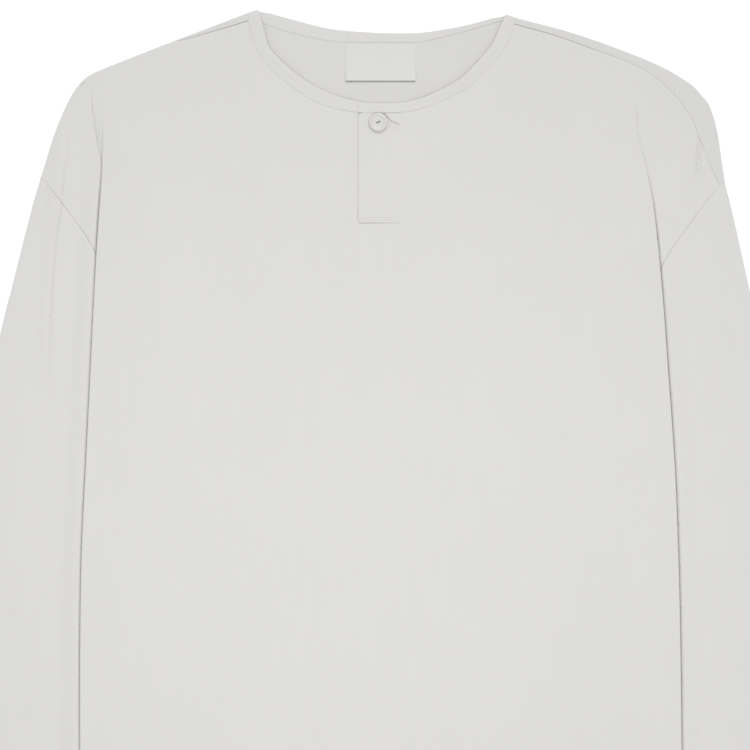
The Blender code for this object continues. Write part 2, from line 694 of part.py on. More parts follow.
def button(parts, cutters):
    """A turned disc with a raised rim and a sunk middle, and two holes through it."""
    bottom = SECOND + LAP_LIFT + WALL / 2 + SEAM_GAP
    top = bottom + BUTTON_THICK
    profile = [
        # radius, height
        (0, top - 0.9), (4.4, top - 0.9), (5.2, top - 0.3), (5.9, top), (6.7, top), (7.4, top - 0.5),
        (BUTTON_RADIUS, top - 1.2), (7.3, bottom + 0.4), (6.4, bottom), (0, bottom),
    ]
    data = bpy.data.meshes.new("button")
    points = [(radius * MM, 0, height * MM) for radius, height in profile]
    data.from_pydata(points, [(i, i + 1) for i in range(len(points) - 1)], [])
    piece = bpy.data.objects.new("button", data)
    data.materials.append(material("button"))
    piece.location = (BUTTON_X * MM, BUTTON_Y * MM, 0)
    parts.objects.link(piece)
    screw = piece.modifiers.new("turned", "SCREW")
    screw.steps = screw.render_steps = 28
    screw.use_merge_vertices = True
    screw.merge_threshold = 0.00001
    screw.use_smooth_shade = True
    mesh = bmesh.new()
    for hand in (-1, 1):
        made = bmesh.ops.create_cone(
            mesh, cap_ends=True, segments=12, radius1=BUTTON_HOLE_RADIUS * MM,
            radius2=BUTTON_HOLE_RADIUS * MM, depth=BUTTON_HOLE_DEPTH * MM,
        )
        where = Vector((BUTTON_X + hand * BUTTON_HOLE_SPACING / 2, BUTTON_Y, (bottom + top) / 2)) * MM
        bmesh.ops.translate(mesh, vec=where, verts=made["verts"])
    cut(piece, cutter("button_holes", mesh, cutters))


def main():
    for old in list(bpy.data.objects):
        bpy.data.objects.remove(old)
    parts = bpy.data.collections.new("henley_shirt")
    cutters = bpy.data.collections.new("cutters")
    for collection in (parts, cutters):
        bpy.context.scene.collection.children.link(collection)
    front_panel(parts, cutters)
    back_panel(parts)
    for side in (LEFT, RIGHT):
        sleeve(side, parts)
    neckband(parts)
    placket(parts)
    label(parts)
    button(parts, cutters)


main()
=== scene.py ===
"""Henley shirt with long sleeves and dropped shoulders, laid flat, face up.

Each piece of cloth is a surface through sections that are worked out from the tables below,
raised by its soft folds and given the wall of real cloth. The sewing is laid on it afterwards.
The tables are in millimetres, and each point becomes metres as it is set.
"""

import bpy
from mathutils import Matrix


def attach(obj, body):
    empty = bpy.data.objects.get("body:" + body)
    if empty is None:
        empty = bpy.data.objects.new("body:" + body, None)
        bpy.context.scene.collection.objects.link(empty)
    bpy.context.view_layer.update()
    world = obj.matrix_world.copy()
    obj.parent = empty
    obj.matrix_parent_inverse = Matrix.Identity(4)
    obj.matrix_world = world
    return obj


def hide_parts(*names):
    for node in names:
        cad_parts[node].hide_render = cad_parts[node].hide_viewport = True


bl_info = {
    "name": "Henley shirt, laid flat",
    "version": (1, 0, 0),
    "blender": (4, 5, 0),
    "location": "View3D > Sidebar > Shirt",
    "description": "Makes a long-sleeved henley shirt, its trims and its sewing, and a stage",
    "category": "Add Mesh",
}

import math
from collections import namedtuple
from functools import partial

import bmesh
import bpy
import numpy as np
from mathutils import Matrix, Vector
from mathutils.bvhtree import BVHTree

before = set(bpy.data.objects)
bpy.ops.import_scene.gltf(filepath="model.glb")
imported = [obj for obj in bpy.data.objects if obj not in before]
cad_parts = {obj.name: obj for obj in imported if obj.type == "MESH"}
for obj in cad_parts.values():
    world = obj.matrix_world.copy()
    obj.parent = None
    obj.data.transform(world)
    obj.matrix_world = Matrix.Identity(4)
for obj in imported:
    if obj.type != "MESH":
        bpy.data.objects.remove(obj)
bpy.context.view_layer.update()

MM = 0.001

# Layers of cloth
WALL = 0.7
BAND_WALL = 1.3  # neckband, two layers and what is turned in
PITCH = 1.6  # from the middle of one layer to the middle of the next
FLOOR = 0.5  # the middle of the lowest layer
SECOND = FLOOR + PITCH
TURN = PITCH / 2  # radius of a fold
EDGE = TURN + 0.5  # how far a fold starts to turn before the outline
HALF_TURN = math.pi * TURN
FLAT_START = 1.2  # flat cloth between the fold over a shoulder and a panel's first row
SEAM_GAP = 0.08
ARMHOLE_GAP = 0.22
SHOULDER_GAP_NECK, SHOULDER_GAP_OUT = 0.5, 0.18
BACK_NECK_GAP = 0.5
BACK_ARM_LAP = 0.07  # how far the back's edge reaches past the armhole seam, so it closes
SEAM_DIP, SEAM_DIP_WIDTH = 0.5, 1.2  # how far cloth sinks beside its seams
NECK_DIP = 0.1
GROOVE_WIDTH = 1.2  # of the lines pressed in at the head of a side fold
CREASE_TAPER = 0.3  # part of a soft fold's length over which each of its ends fades
MERGE = 0.02  # points nearer than this are one
SHARP, RIM_ANGLE = math.radians(35), math.radians(50)

# Body: where it rises on its sleeves and settles again below them
HEM_Y = -361.6
UNDERARM_Y = 37.0
NECK_BLEND, ARM_BLEND = 25.0, 20.0  # where the shoulder's direction turns into the seams'
RISE_START, RISE_WIDTH = 5.0, 80.0
BACK_RISE_START, BACK_RISE_WIDTH, BACK_CLIMB = 1.5, 16.0, 12.0
SETTLE_START_Y, SETTLED_Y = -250.0, -305.0
PLEAT_TOP = 2 * PITCH
LEAST_DROP, LEAST_RUN = 0.02, 0.6  # the flattest that the side fold gets
SLEEVE_CLEAR = 1.5
LOWER_END = 18.4  # the front's lower cloth ends this far above the underarm
SLEEVE_BLEND = 12.0  # the sleeve's sections turn from the armhole's line within this

# Swell of the sleeve and the lower cloth beside the side fold
SWELL_CREST, SWELL_INNER, SWELL_OUTER, SWELL_TROUGH, SWELL_FADE = 2.0, 2.3, 15.0, 0.8, 70.0
SWELL_COLUMNS = 4

# The open front's waviness stops short of its edges
RIPPLE = 0.1
SHOULDER_MARGIN, NECK_MARGIN, HEM_MARGIN, NECK_SIDE_X = 8, 6, 26, 107
SLIT_MARGIN_X, SLIT_MARGIN_Y = 22, 178
TOP_FADE, FOLD_FADE, SLIT_FADE = 30, 40, 20
FAR = 1e3

# Hems
HEM_SWELL = 0.55  # a hem is this much thicker, as a part of the layers' height
HEM_START, HEM_FULL = 24.0, 17.0  # from the edge
HEM_ROWS = (21.5, 16.0)  # the two rows of stitches
HEM_DIP, HEM_DIP_WIDTH = 0.16, 1.6
HEM_TURN = 0.38
HEM_TUCK = 4.0
HEM_STEPS = (
    40, 34, 29, 26, 24, 23, 22.3, 21.5, 20.7, 19.8, 18.6, 17.3, 16.6, 16, 15.4, 14.6, 13.4, 11, 8, 5,
    3, 1.6, 0.7, 0,
)

# Neck and neckband
NECK_FRONT_Y = 277.8
NECK_BACK_Y = 335.1
BACK_STRETCH_Y = NECK_BACK_Y - 10  # the neckband's stretch at the back lies above this
FREE_LIFT_TIP, FREE_LIFT_MIDDLE = 1.2, -0.3  # how far the neckband's free edge stands up
FREE_LIFT_START, FREE_LIFT_RUN = 9, 90
FOLD_ROUND = 0.12  # part of the neckband's width that its folded edge takes
FOLD_ANGLES = np.linspace(0, math.pi / 2, 7)
# the neckband's section: part of its width from the seam, and of half its thickness
BAND_SHARES = np.concatenate([
    [0, 0.04, 0.1, 0.18, 0.28, 0.33, 0.36, 0.39, 0.44, 0.7], 1 - FOLD_ROUND * (1 - np.sin(FOLD_ANGLES)),
])
BAND_HALVES = np.concatenate([
    [0.52, 0.66, 0.82, 0.93, 0.97, 0.93, 0.82, 0.93, 0.98, 1], np.cos(FOLD_ANGLES),
])
BAND_JOIN_X, BAND_JOIN_WIDTH, BAND_JOIN_DIP = -26.7, 0.6, 0.5
BAND_JOIN_STEPS = (-1.5, -0.5, -0.25, 0, 0.25, 0.5, 1.5)
BAND_STEP = 12  # the most x that two neighbouring sections lie apart

# Placket
SLIT_LEFT, SLIT_RIGHT, SLIT_FOOT = -17.8, 15.4, 188.7
SLIT_REACH, SLIT_BELOW = 40, 20  # the cloth that is cut finer round the slit
LAP = 0.5
LAP_LIFT, LIFT_SLOPE_START = 1.05, -9.0
UNDER_EDGE, UNDER_DROP, UNDER_SLOPE = 6.0, 0.75, 16.0
FOOT_GAP, FOOT_FADE = 0.16, 5.0
FOOT_SHARE, FOOT_RISE = 0.45, 0.1  # of its lift, what the upper strip loses at its foot, and what stays
TICK_GAP, TICK_WIDTH = 0.8, 3.5
RIDGE_HEIGHT, RIDGE_FADE = 0.75, 6  # the seam allowance beside the placket
RIDGE_START, RIDGE_CREST, RIDGE_END = -31.0, -22.8, -18.5
RIDGE_LINES = (-31.0, -29.0, -27.0, -25.2, -23.8, -22.8, -21.7, -20.6, -19.5, -18.5)
PLACKET_ROWS = np.concatenate([np.linspace(0, 0.3, 56), np.linspace(0.32, 0.97, 40), [0.98, 0.99, 1]])
BUTTONHOLE = [
    (-5.4, 278.0), (-0.8, 278.1), (2.1, 277.3), (4.9, 273.9), (7.3, 271.6), (12.5, 269.2), (15.2, 268.8),
]
LIP_HEIGHT, LIP_WIDTH, LIP_REACH, LIP_START = 0.85, 1.3, 5.0, 5.5
SLOT_DEPTH, SLOT_WIDTH, SLOT_START, SLOT_END = 1.3, 1.0, -6.5, 15.3
SLOT_FADE, SLOT_END_FADE = 3, 2.5

# Label
LABEL_X, LABEL_Y, LABEL_WIDTH, LABEL_HEIGHT = -0.4, 318.95, 56.6, 31.1
LABEL_LIFT, LABEL_FOOT_SHADOW = 0.8, 0.4  # how far its foot lifts, and the width of the painted shadow along it
LABEL_GAP, LABEL_WAVE = 0.16, 0.1
LABEL_GRID = 30, 22
TAPE_WALL, TAPE_ROUND = 0.25, 0.06

# Button
BUTTON_X, BUTTON_Y, BUTTON_RADIUS, BUTTON_THICK = -2.3, 270.1, 7.6, 2.3
BUTTON_TURN, BUTTON_TILT = math.radians(22), math.radians(4)
BUTTON_GAP, BUTTON_WELL = 0.05, 0.75  # the gap below it, and the depth of its sunk middle
BUTTON_STEPS, HOLE_STEPS = 72, 20
HOLE_RADIUS, HOLE_SPACING = 0.7, 2.1
BUTTON_PROFILE = [
    # radius, height
    (0, BUTTON_THICK - BUTTON_WELL), (3.9, BUTTON_THICK - 0.73), (4.6, BUTTON_THICK - 0.6),
    (5.1, BUTTON_THICK - 0.35), (5.5, BUTTON_THICK - 0.1), (5.9, BUTTON_THICK), (6.6, BUTTON_THICK),
    (7.1, BUTTON_THICK - 0.16), (7.45, BUTTON_THICK - 0.5), (BUTTON_RADIUS, BUTTON_THICK - 1.1),
    (BUTTON_RADIUS, BUTTON_THICK - 1.6), (7.1, 0.35), (6.3, 0.05), (5.4, 0), (0, 0),
]

# Sewing
PLACKET_STITCH_ROWS = (2.4, 4.5)
HEM_STITCH_GAP, HEM_STITCH_SINK = 0.5, 0.3
FINE_LENGTH, FINE_WIDTH, FINE_GAP, FINE_SINK = 0.7, 0.55, 0.25, 0.45  # the placket's stitches
STITCH_FLATNESS, STITCH_SLOPE, STITCH_STRETCH = 0.8, 0.7, 1.3
BUTTONHOLE_STITCHES = 34
SATIN_START, SATIN_REACH = 5.0, (0.35, 1.5)
SATIN_LIFT, SATIN_WIDTH = 0.05, 0.4
STRAND_SPACING, STRAND_OVER, STRAND_DOWN = 0.38, 0.45, 0.42  # and the widths over and down the holes

# Stage
CAMERA_MIDDLE = (-4.9, 65.6)
VIEW_SIDE = 607.5  # what the camera sees across, at the cloth
LENS, SENSOR = 100.0, 36.0
FLOOR_SIZE, FLOOR_DROP = 30, 0.2  # in metres, and below the cloth in millimetres
SOFTBOX_PLACE, SOFTBOX_AIM, SOFTBOX_SIZE = (-0.01, -0.04, 0.8), (-0.01, -0.04, 0), 0.5  # in metres
WINDOW_PLACE, WINDOW_ANGLE = (0.35, 1.2, 1.5), math.radians(30)

# Grids
NECK_ROWS, CHEST_ROWS = 34, 42
ARM_ROWS = NECK_ROWS + CHEST_ROWS
CHEST_TOP_Y = 262.0
EDGE_SPREAD, MIDDLE_SPREAD = 1.3, 1.2
BACK_SPREAD = (0, 0.1, 0.4, 1), (0, 0.08, 0.15, 1)
SKIRT_STEPS = 62
SKIRT_Y = np.concatenate([
    np.linspace(UNDERARM_Y, HEM_Y + HEM_STEPS[0] + 5, SKIRT_STEPS)[1:],
    HEM_Y + np.array(HEM_STEPS, float),
])
PANEL_COLUMNS, RUN_COLUMNS, SIDE_COLUMNS = 52, 46, 6
TURN_STEPS = 7
FINE = 6
TIP_ROWS, TIP_BLEND, TIP_SKIP = 4, 5, 19
SLEEVE_ROWS, SLEEVE_COLUMNS = 84, 160
SHOULDER_ROWS = (0, 0.16, 0.33, 0.5, 0.66, 0.82, 1)
SEAM_SHARE = 0.92
NEAR_SEAM = (0.2, 0.45, 0.7, 1.0, 1.4, 2.2)  # extra lines of points this far from a seam

Side = namedtuple(
    "Side",
    "name outward shoulder seam_inset neck_direction armhole fold swell valley pressed press pleat_full_y"
    " neck_front neck_back sleeve_outer sleeve_inner lap_line",
)

# Each side's curves are (x, y) points. seam_inset is (part of the shoulder's length, how far
# the shoulder seam lies in from the outline). swell is the height of the cloth beside the side
# fold and how far it takes to rise, and pleat_full_y is where the fold has its full height. press
# is the depth of the pressed lines. neck_front and neck_back are the neckband's sections from
# the tip of the neck to the middle: (seam x, seam y, free edge x, free edge y).
LEFT = Side(
    name="left",
    outward=-1,
    shoulder=[
        (-107.7, 359.2), (-159.6, 339.4), (-217.9, 316.7), (-237.3, 307.8),
        (-247.4, 297.5), (-256.8, 280.3), (-266.5, 255.2), (-275.8, 225.4),
    ],
    seam_inset=[(0, 6.5), (0.22, 2.6), (0.36, -0.7), (1, -0.7)],
    neck_direction=(0.09, -1),
    armhole=[
        (-275.8, 225.4), (-263.3, 210.6), (-248.7, 191.2), (-231.7, 165.2),
        (-216, 122), (-205, 84), (-199, 62), (-190, 46),
    ],
    fold=[
        (-225.2, 290.8), (-225.4, 261.6), (-226.2, 228), (-228.8, 191), (-231.7, 142.6),
        (-234.9, 77.8), (-238.9, -3.2), (-242.1, -68), (-243.5, -132), (-243.8, -228.4), (-243.4, HEM_Y),
    ],
    swell=(2.1, 70),
    valley=[(-234.9, 290.4), (-232.7, 270.5), (-226.8, 234.1), (-207, 158), (-200, 110), (-194.5, 64)],
    pressed=[
        [(-235.5, 297), (-234.5, 286), (-232.7, 270.5), (-229.8, 251), (-226.8, 230)],
        [(-225.8, 268), (-226, 255), (-226.3, 242), (-226.8, 226)],
    ],
    press=1.15,
    pleat_full_y=236,
    neck_front=[
        (-107, 358.2, -99.1, 360.3), (-106.6, 348, -97.3, 348), (-103.2, 335, -93.4, 336),
        (-93.2, 317.5, -84, 323), (-73.7, 299.7, -66, 307.5), (-51, 285.9, -45, 295.4),
        (-25.1, 278.9, -21, 287.8), (0, NECK_FRONT_Y, 0, 285.9),
    ],
    neck_back=[
        (-107, 358.2, -99.1, 360.3), (-101.5, 352.8, -97.6, 360.4), (-96.4, 350.7, -94, 359.9),
        (-73.7, 343.4, -71, 353.6), (-49.4, 337.8, -47, 347.4), (-31.6, 335.4, -30, 344.8),
        (0, NECK_BACK_Y, 0, 342.8),
    ],
    sleeve_outer=[
        (-275.8, 225.4), (-284.3, 196), (-298.9, 137.7), (-308.6, 98.8), (-344, -60),
        (-376.7, -228.4), (-393.7, -319),
    ],
    sleeve_inner=[(-190, 46), (-213, -84.2), (-240.5, -228.4), (-262, -343)],
    lap_line=[(-190, 46), (-211, -84.2), (-231, -228.4), (-233, HEM_Y)],
)
RIGHT = Side(
    name="right",
    outward=1,
    shoulder=[
        (107.7, 355.6), (161.2, 341), (219.5, 319.1), (248.7, 302.9), (258.9, 293.2),
        (266.5, 283), (272.2, 264.1), (275.4, 244), (278.2, 223.6),
    ],
    seam_inset=[
        (0, 5.4), (0.13, 5.9), (0.27, 7.3), (0.41, 7.1), (0.49, 8.6), (0.55, 11), (0.6, 13.6),
        (0.69, 17.2), (0.8, 16.4), (0.87, 14.1), (1, 6.2),
    ],
    neck_direction=(-0.09, -1),
    armhole=[
        (278.2, 223.6), (267.3, 210.6), (252.7, 191.2), (245.4, 181.4), (228, 154.7),
        (215, 122), (205, 84), (199, 62), (190, 46),
    ],
    fold=[
        (207.4, 284.3), (207.6, 266.5), (213.8, 239.8), (220, 207.4), (223.8, 175), (228.3, 126),
        (231.8, 77.8), (237.5, -3.2), (240.3, -68), (242, -132), (243.2, -228.4), (243.4, HEM_Y),
    ],
    swell=(2.8, 150),
    valley=[
        (211.4, 290.4), (210.2, 280), (206.8, 264), (202.6, 223.6), (200, 158.8), (198, 110),
        (194.5, 64),
    ],
    pressed=[[(207.5, 288), (207.4, 276), (207.8, 262), (213, 240)]],
    press=0.75,
    pleat_full_y=150,
    neck_front=[
        (107, 354.5, 100.3, 356.6), (106.4, 345, 97.2, 346), (101.3, 332.1, 91.5, 335.5),
        (88.3, 315.9, 79.5, 321), (72.1, 299.7, 64.8, 306.2), (47.8, 286.7, 42.8, 294),
        (29.2, 280.3, 27, 288.5), (15.4, 278.2, 15.4, 286.3), (0, NECK_FRONT_Y, 0, 285.9),
    ],
    neck_back=[
        (107, 354.5, 100.3, 356.6), (100, 353, 96, 356.2), (90, 350.5, 88, 354.2),
        (73, 345.5, 70, 349.4), (52.7, 340.2, 51, 345.8), (28.4, 335.4, 29, 342.9),
        (0, NECK_BACK_Y, 0, 342.8),
    ],
    sleeve_outer=[
        (278.2, 223.6), (285.1, 196), (298.1, 137.7), (306.8, 98.8), (342, -60),
        (376.8, -228.4), (393.7, -319),
    ],
    sleeve_inner=[(190, 46), (213, -84.2), (240.2, -228.4), (262, -343)],
    lap_line=[(190, 46), (212, -84.2), (231, -228.4), (233, HEM_Y)],
)

Crease = namedtuple("Crease", "points left right height")

# Soft folds: the crest's points, how far the cloth slopes on the crest's left and right as it is
# walked along, and the crest's height. Those of the sleeves and the front raise the top layer.
SHOULDER_CREASES = {
    "left": [
        Crease([(-254, 282), (-257, 262), (-261, 220), (-265, 150), (-269, 85), (-270, 40)], 20, 13, 1.2),
        Crease(
            [
                (-249, 300), (-253, 268), (-256, 241.8), (-258, 225.6), (-260.2, 201.3), (-264.2, 173),
                (-266.3, 148.6), (-268, 120), (-269, 96), (-271, 60), (-273, 20),
            ],
            2.1, 2.1, -1.25,
        ),
    ],
    "right": [
        Crease([(262, 292), (271, 270), (276, 246), (277, 222), (279, 170), (283, 110)], 6, 14, 1.2),
        Crease([(255.4, 260), (254.4, 250), (253.8, 238), (253, 208)], 2.6, 7, 1.3),
        Crease([(257.8, 260), (257.3, 250), (256.8, 238), (256, 208)], 2.2, 2.2, -1.3),
        Crease([(261.2, 260), (260.6, 250), (260, 238), (259.2, 208)], 7, 2.6, 1.0),
    ],
}
SLEEVE_CREASES = {
    "left": [
        Crease([(-283, 60), (-292, 0), (-306, -70), (-318, -130)], 22, 15, 1.1),
        Crease([(-262, -20), (-283, -85), (-297, -150)], 13, 18, 0.9),
        Crease([(-332, -190), (-346, -235), (-352, -290)], 18, 14, 1.0),
        Crease([(-287, -215), (-303, -262), (-309, -305)], 14, 12, 0.8),
    ],
    "right": [
        Crease([(300, 40), (311, -30), (322, -95)], 15, 20, 1.0),
        Crease([(262, -45), (279, -110), (292, -175)], 17, 13, 1.0),
        Crease([(338, -150), (349, -215), (356, -275)], 14, 17, 0.9),
        Crease([(285, -235), (299, -285), (303, -318)], 12, 14, 0.7),
    ],
}
FRONT_CREASES = [
    Crease([(-120, 330), (-150, 285), (-168, 235)], 22, 26, 0.7),
    Crease([(118, 322), (150, 280), (172, 226)], 24, 20, 0.7),
    Crease([(-60, 178), (-104, 120), (-128, 40), (-134, -50)], 34, 40, 0.9),
    Crease([(150, 120), (128, 40), (118, -60), (122, -160)], 40, 32, 0.8),
    Crease([(-40, -120), (-30, -190), (-44, -280)], 36, 30, 0.8),
    Crease([(168, -170), (160, -240), (150, -310)], 24, 28, 0.7),
    Crease([(-176, -150), (-168, -220), (-172, -300)], 22, 26, 0.7),
]
BACK_CREASES = [
    Crease([(-74, 305), (-46, 303.2), (0, 302.6), (40, 303.5), (60, 306)], 24, 15, 1.2),
    Crease([(-150, 270), (-120, 190), (-70, 120)], 30, 24, 0.45),
    Crease([(140, 260), (118, 190), (64, 130)], 24, 30, 0.45),
    Crease([(-90, 60), (-110, -60), (-96, -200)], 30, 26, 0.45),
    Crease([(84, 20), (104, -110), (92, -260)], 26, 32, 0.45),
]


# ---------------------------------------------------------------- curves and grids


def smooth(amount):
    """0 to 1 with no corner at either end."""
    amount = np.clip(amount, 0.0, 1.0)
    return amount * amount * (3 - 2 * amount)


def bump(amount):
    """1 at 0, falling softly to 0 at 1 on either side."""
    return (1 - np.clip(np.abs(amount), 0, 1) ** 2) ** 2


def curve(points, steps=24):
    """Closely spaced points of the smooth curve through `points`."""
    points = np.asarray(points, float)
    ends = [2 * points[0] - points[1], *points, 2 * points[-1] - points[-2]]
    found = []
    for before, start, end, after in zip(ends, ends[1:], ends[2:], ends[3:]):
        for t in np.arange(steps) / steps:
            found.append(
                start
                + 0.5 * t * (end - before)
                + t * t * (before - 2.5 * start + 2 * end - 0.5 * after)
                + t**3 * 0.5 * (3 * (start - end) + after - before)
            )
    found.append(points[-1])
    return np.array(found)


def lengths_of(line):
    return np.concatenate([[0], np.cumsum(np.linalg.norm(np.diff(line, axis=0), axis=1))])


def along(line, parts):
    """The points at the given parts, from 0 to 1, of a line's length."""
    lengths = lengths_of(line)
    at = np.asarray(parts, float) * lengths[-1]
    return np.stack([np.interp(at, lengths, line[:, axis]) for axis in range(line.shape[1])], axis=-1)


def at_heights(line, heights):
    """The points of a line that runs down the shirt where it crosses the given y."""
    x = np.interp(-np.asarray(heights), -line[:, 1], line[:, 0])
    return np.stack([x, heights], axis=-1)


def inward(side, line):
    """Unit normals of a line that starts at the shoulder, towards the body."""
    run = np.gradient(line, axis=0)
    run /= np.linalg.norm(run, axis=1)[:, None]
    return -side.outward * np.stack([-run[:, 1], run[:, 0]], axis=-1)


def moved_in(side, line, distance):
    return line + inward(side, line) * distance


def patch(top, bottom, inner, outer):
    """Grid of points between four lines that meet at their ends, in rows from top to bottom."""
    down = np.linspace(0, 1, len(inner))[:, None, None]
    across = np.linspace(0, 1, len(top))[None, :, None]
    ends = (
        (1 - across) * (1 - down) * top[0]
        + across * (1 - down) * top[-1]
        + (1 - across) * down * bottom[0]
        + across * down * bottom[-1]
    )
    return (
        (1 - down) * top[None]
        + down * bottom[None]
        + (1 - across) * inner[:, None]
        + across * outer[:, None]
        - ends
    )


def raised(plan, height):
    """Plan points with a height, which may differ from point to point."""
    height = np.broadcast_to(np.asarray(height, float), plan.shape[:-1])
    return np.concatenate([plan, height[..., None]], axis=-1)


# ---------------------------------------------------------------- soft folds


def crease_lift(plan, creases):
    """How much the soft folds raise the cloth at plan points."""
    flat = plan.reshape(-1, 2)
    total = np.zeros(len(flat))
    for crease in creases:
        line = curve(crease.points, 8)
        starts, runs = line[:-1], np.diff(line, axis=0)
        offset = flat[:, None] - starts
        share = np.clip((offset * runs).sum(-1) / (runs**2).sum(-1), 0, 1)
        away = offset - share[..., None] * runs
        distance = np.linalg.norm(away, axis=-1)
        nearest = distance.argmin(axis=1)
        every = np.arange(len(flat))
        run, gap = runs[nearest], away[every, nearest]
        on_left = run[:, 0] * gap[:, 1] - run[:, 1] * gap[:, 0] > 0
        width = np.where(on_left, crease.left, crease.right)
        part = (nearest + share[every, nearest]) / len(runs)
        taper = smooth(part / CREASE_TAPER) * smooth((1 - part) / CREASE_TAPER)
        total += crease.height * taper * bump(distance[every, nearest] / width)
    return total.reshape(plan.shape[:-1])


def ripple(plan):
    """The slight waviness of cloth that has been smoothed by hand, never below 0."""
    x, y = plan[..., 0], plan[..., 1]
    wave = (
        np.sin(x / 37 + 0.7 * np.sin(y / 61))
        + np.sin((x * 0.35 + y) / 49 + 1.3)
        + 0.6 * np.sin((x - 0.6 * y) / 23 + 0.4 * np.sin(y / 31))
    )
    return RIPPLE * (wave + 2.6)


def hem_share(distance):
    """1 in the hem, 0 above it, at a distance from the edge."""
    return smooth((HEM_START - distance) / (HEM_START - HEM_FULL))


def hem_dip(distance):
    """How far the two rows of stitches pull the cloth in, at a distance from the edge."""
    return HEM_DIP * sum(bump((distance - row) / HEM_DIP_WIDTH) for row in HEM_ROWS)


def hemmed(points, lift):
    """Points of the body raised by `lift`, with its layers further apart in the hem."""
    points = points.copy()
    share = hem_share(points[..., 1] - HEM_Y)
    points[..., 2] = FLOOR + (points[..., 2] - FLOOR) * (1 + HEM_SWELL * share) + lift
    return points


def near_seam(points, first=True):
    """The grid with extra columns of points near its first or last column."""
    points = np.moveaxis(points, 1, 0)[:: 1 if first else -1]
    edge, beside = points[0], points[1]
    length = np.maximum(np.linalg.norm(beside - edge, axis=-1, keepdims=True), 1e-6)
    extra = [
        edge + (beside - edge) * np.minimum(distance / length, 0.9 * (step + 1) / len(NEAR_SEAM))
        for step, distance in enumerate(NEAR_SEAM)
    ]
    points = np.concatenate([edge[None], extra, points[1:]])[:: 1 if first else -1]
    return np.moveaxis(points, 0, 1)


def seam_dip(points, *seams, depth=SEAM_DIP):
    """How far the top cloth sinks beside its seams, each a line of plan points."""
    flat = points[..., :2].reshape(-1, 2)
    found = np.full(len(flat), SEAM_DIP_WIDTH)
    for seam in seams:
        for start, run in zip(seam, np.diff(seam, axis=0)):
            offset = flat - start
            share = np.clip(offset @ run / max(run @ run, 1e-9), 0, 1)
            found = np.minimum(found, np.linalg.norm(offset - share[:, None] * run, axis=1))
    dip = depth * bump(found / SEAM_DIP_WIDTH).reshape(points.shape[:-1])
    return dip * smooth((points[..., 2] - SECOND) / TURN + 1)


def on_top(line):
    """The plan points of a seam where it lies on the shirt's upper side."""
    return line[line[:, 2] > SECOND - TURN / 2][:, :2]


def pressed(points, side):
    """How far the top cloth is pressed in along the sharp lines at the head of its side fold."""
    grooves = [Crease(line, GROOVE_WIDTH, GROOVE_WIDTH, side.press) for line in side.pressed]
    return crease_lift(points[..., :2], grooves) * (points[..., 2] > SECOND - TURN / 2)


def beside_fold(points, side):
    """How far the cloth that comes out under a side fold swells up beside it."""
    x, y = points[..., 0], points[..., 1]
    away = (x - at_heights(curve(side.fold), y)[..., 0]) * side.outward
    reach = np.where(away < SWELL_CREST, SWELL_INNER, SWELL_OUTER)
    height, fade = side.swell
    swell = height * bump((away - SWELL_CREST) / reach) - SWELL_TROUGH * bump(away / SWELL_CREST)
    swell *= smooth((side.fold[1][1] - y) / fade) * smooth((y - HEM_Y) / SWELL_FADE)
    return swell * smooth((points[..., 2] - SECOND) / TURN + 1)


# ---------------------------------------------------------------- shoulders


def shoulder_points(side, parts, inset):
    """Plan points at parts of the shoulder's length, `inset` in from the outline.

    At its ends the direction inwards is that of the neck seam and of the armhole seam.
    """
    line = curve(side.shoulder)
    total = lengths_of(line)[-1]
    share = lengths_of(line) / total
    normal = np.stack([np.interp(parts, share, axis) for axis in inward(side, line).T], axis=-1)
    near_neck = 1 - smooth(parts * total / NECK_BLEND)
    near_arm = 1 - smooth((1 - parts) * total / ARM_BLEND)
    for weight, run in ((near_neck, np.array(side.neck_direction)), (near_arm, armhole_run(side))):
        run = run / np.linalg.norm(run)
        normal = normal * (1 - weight[:, None]) + run * weight[:, None]
    normal /= np.linalg.norm(normal, axis=1)[:, None]
    return along(line, parts) + normal * np.asarray(inset, float)[..., None]


def over_shoulder(side, parts, lengths):
    """Points of the cloth that folds forward over the shoulder, at lengths from where it turns."""
    angle = np.clip(lengths, 0, HALF_TURN) / TURN
    flat = np.maximum(lengths - HALF_TURN, 0) + np.maximum(-lengths, 0)
    plan = shoulder_points(side, parts, EDGE - TURN * np.sin(angle) + flat)
    return raised(plan, FLOOR + TURN * (1 - np.cos(angle)))


def seam_lengths(side, parts, hand):
    """How far over the fold a panel's edge at the shoulder seam lies, as a length of cloth.

    `hand` is 1 for the front's edge and -1 for the back's.
    """
    where, inset = curve(side.seam_inset).T
    inset = np.interp(parts, where, inset)
    on_fold = HALF_TURN / 2 * (1 + inset / EDGE)
    gap = SHOULDER_GAP_OUT + (SHOULDER_GAP_NECK - SHOULDER_GAP_OUT) * (1 - smooth(parts * 2))
    return np.where(inset > EDGE, HALF_TURN + inset - EDGE, on_fold) + hand * gap / 2


def shoulder_parts(side):
    """Parts of the shoulder's length at the panels' columns: up to the fold, over it, and beyond."""
    line = curve(side.shoulder)
    total = lengths_of(line)[-1]
    across = line[:, 0] * side.outward
    ends = [side.fold[0][0] * side.outward, side.valley[0][0] * side.outward]
    fold, valley = np.interp(ends, across, lengths_of(line) / total)
    main = np.linspace(0.5 / total, fold, PANEL_COLUMNS + 1)
    pleated = np.linspace(fold, valley, 3 * TURN_STEPS + 1)
    outer = np.linspace(valley, 1 - SEAM_GAP / 2 / total, RUN_COLUMNS + 1)
    return main, pleated, outer


# ---------------------------------------------------------------- armhole and neck seams


def armhole_run(side):
    """Direction of the armhole seam where it leaves the outline."""
    return np.subtract(side.armhole[1], side.armhole[0])


def armhole_line(side, gap, end=1.0, steps=ARM_ROWS):
    """The armhole seam's points, moved by `gap` towards the body."""
    return moved_in(side, along(curve(side.armhole), np.linspace(0, end, steps + 1)), gap)


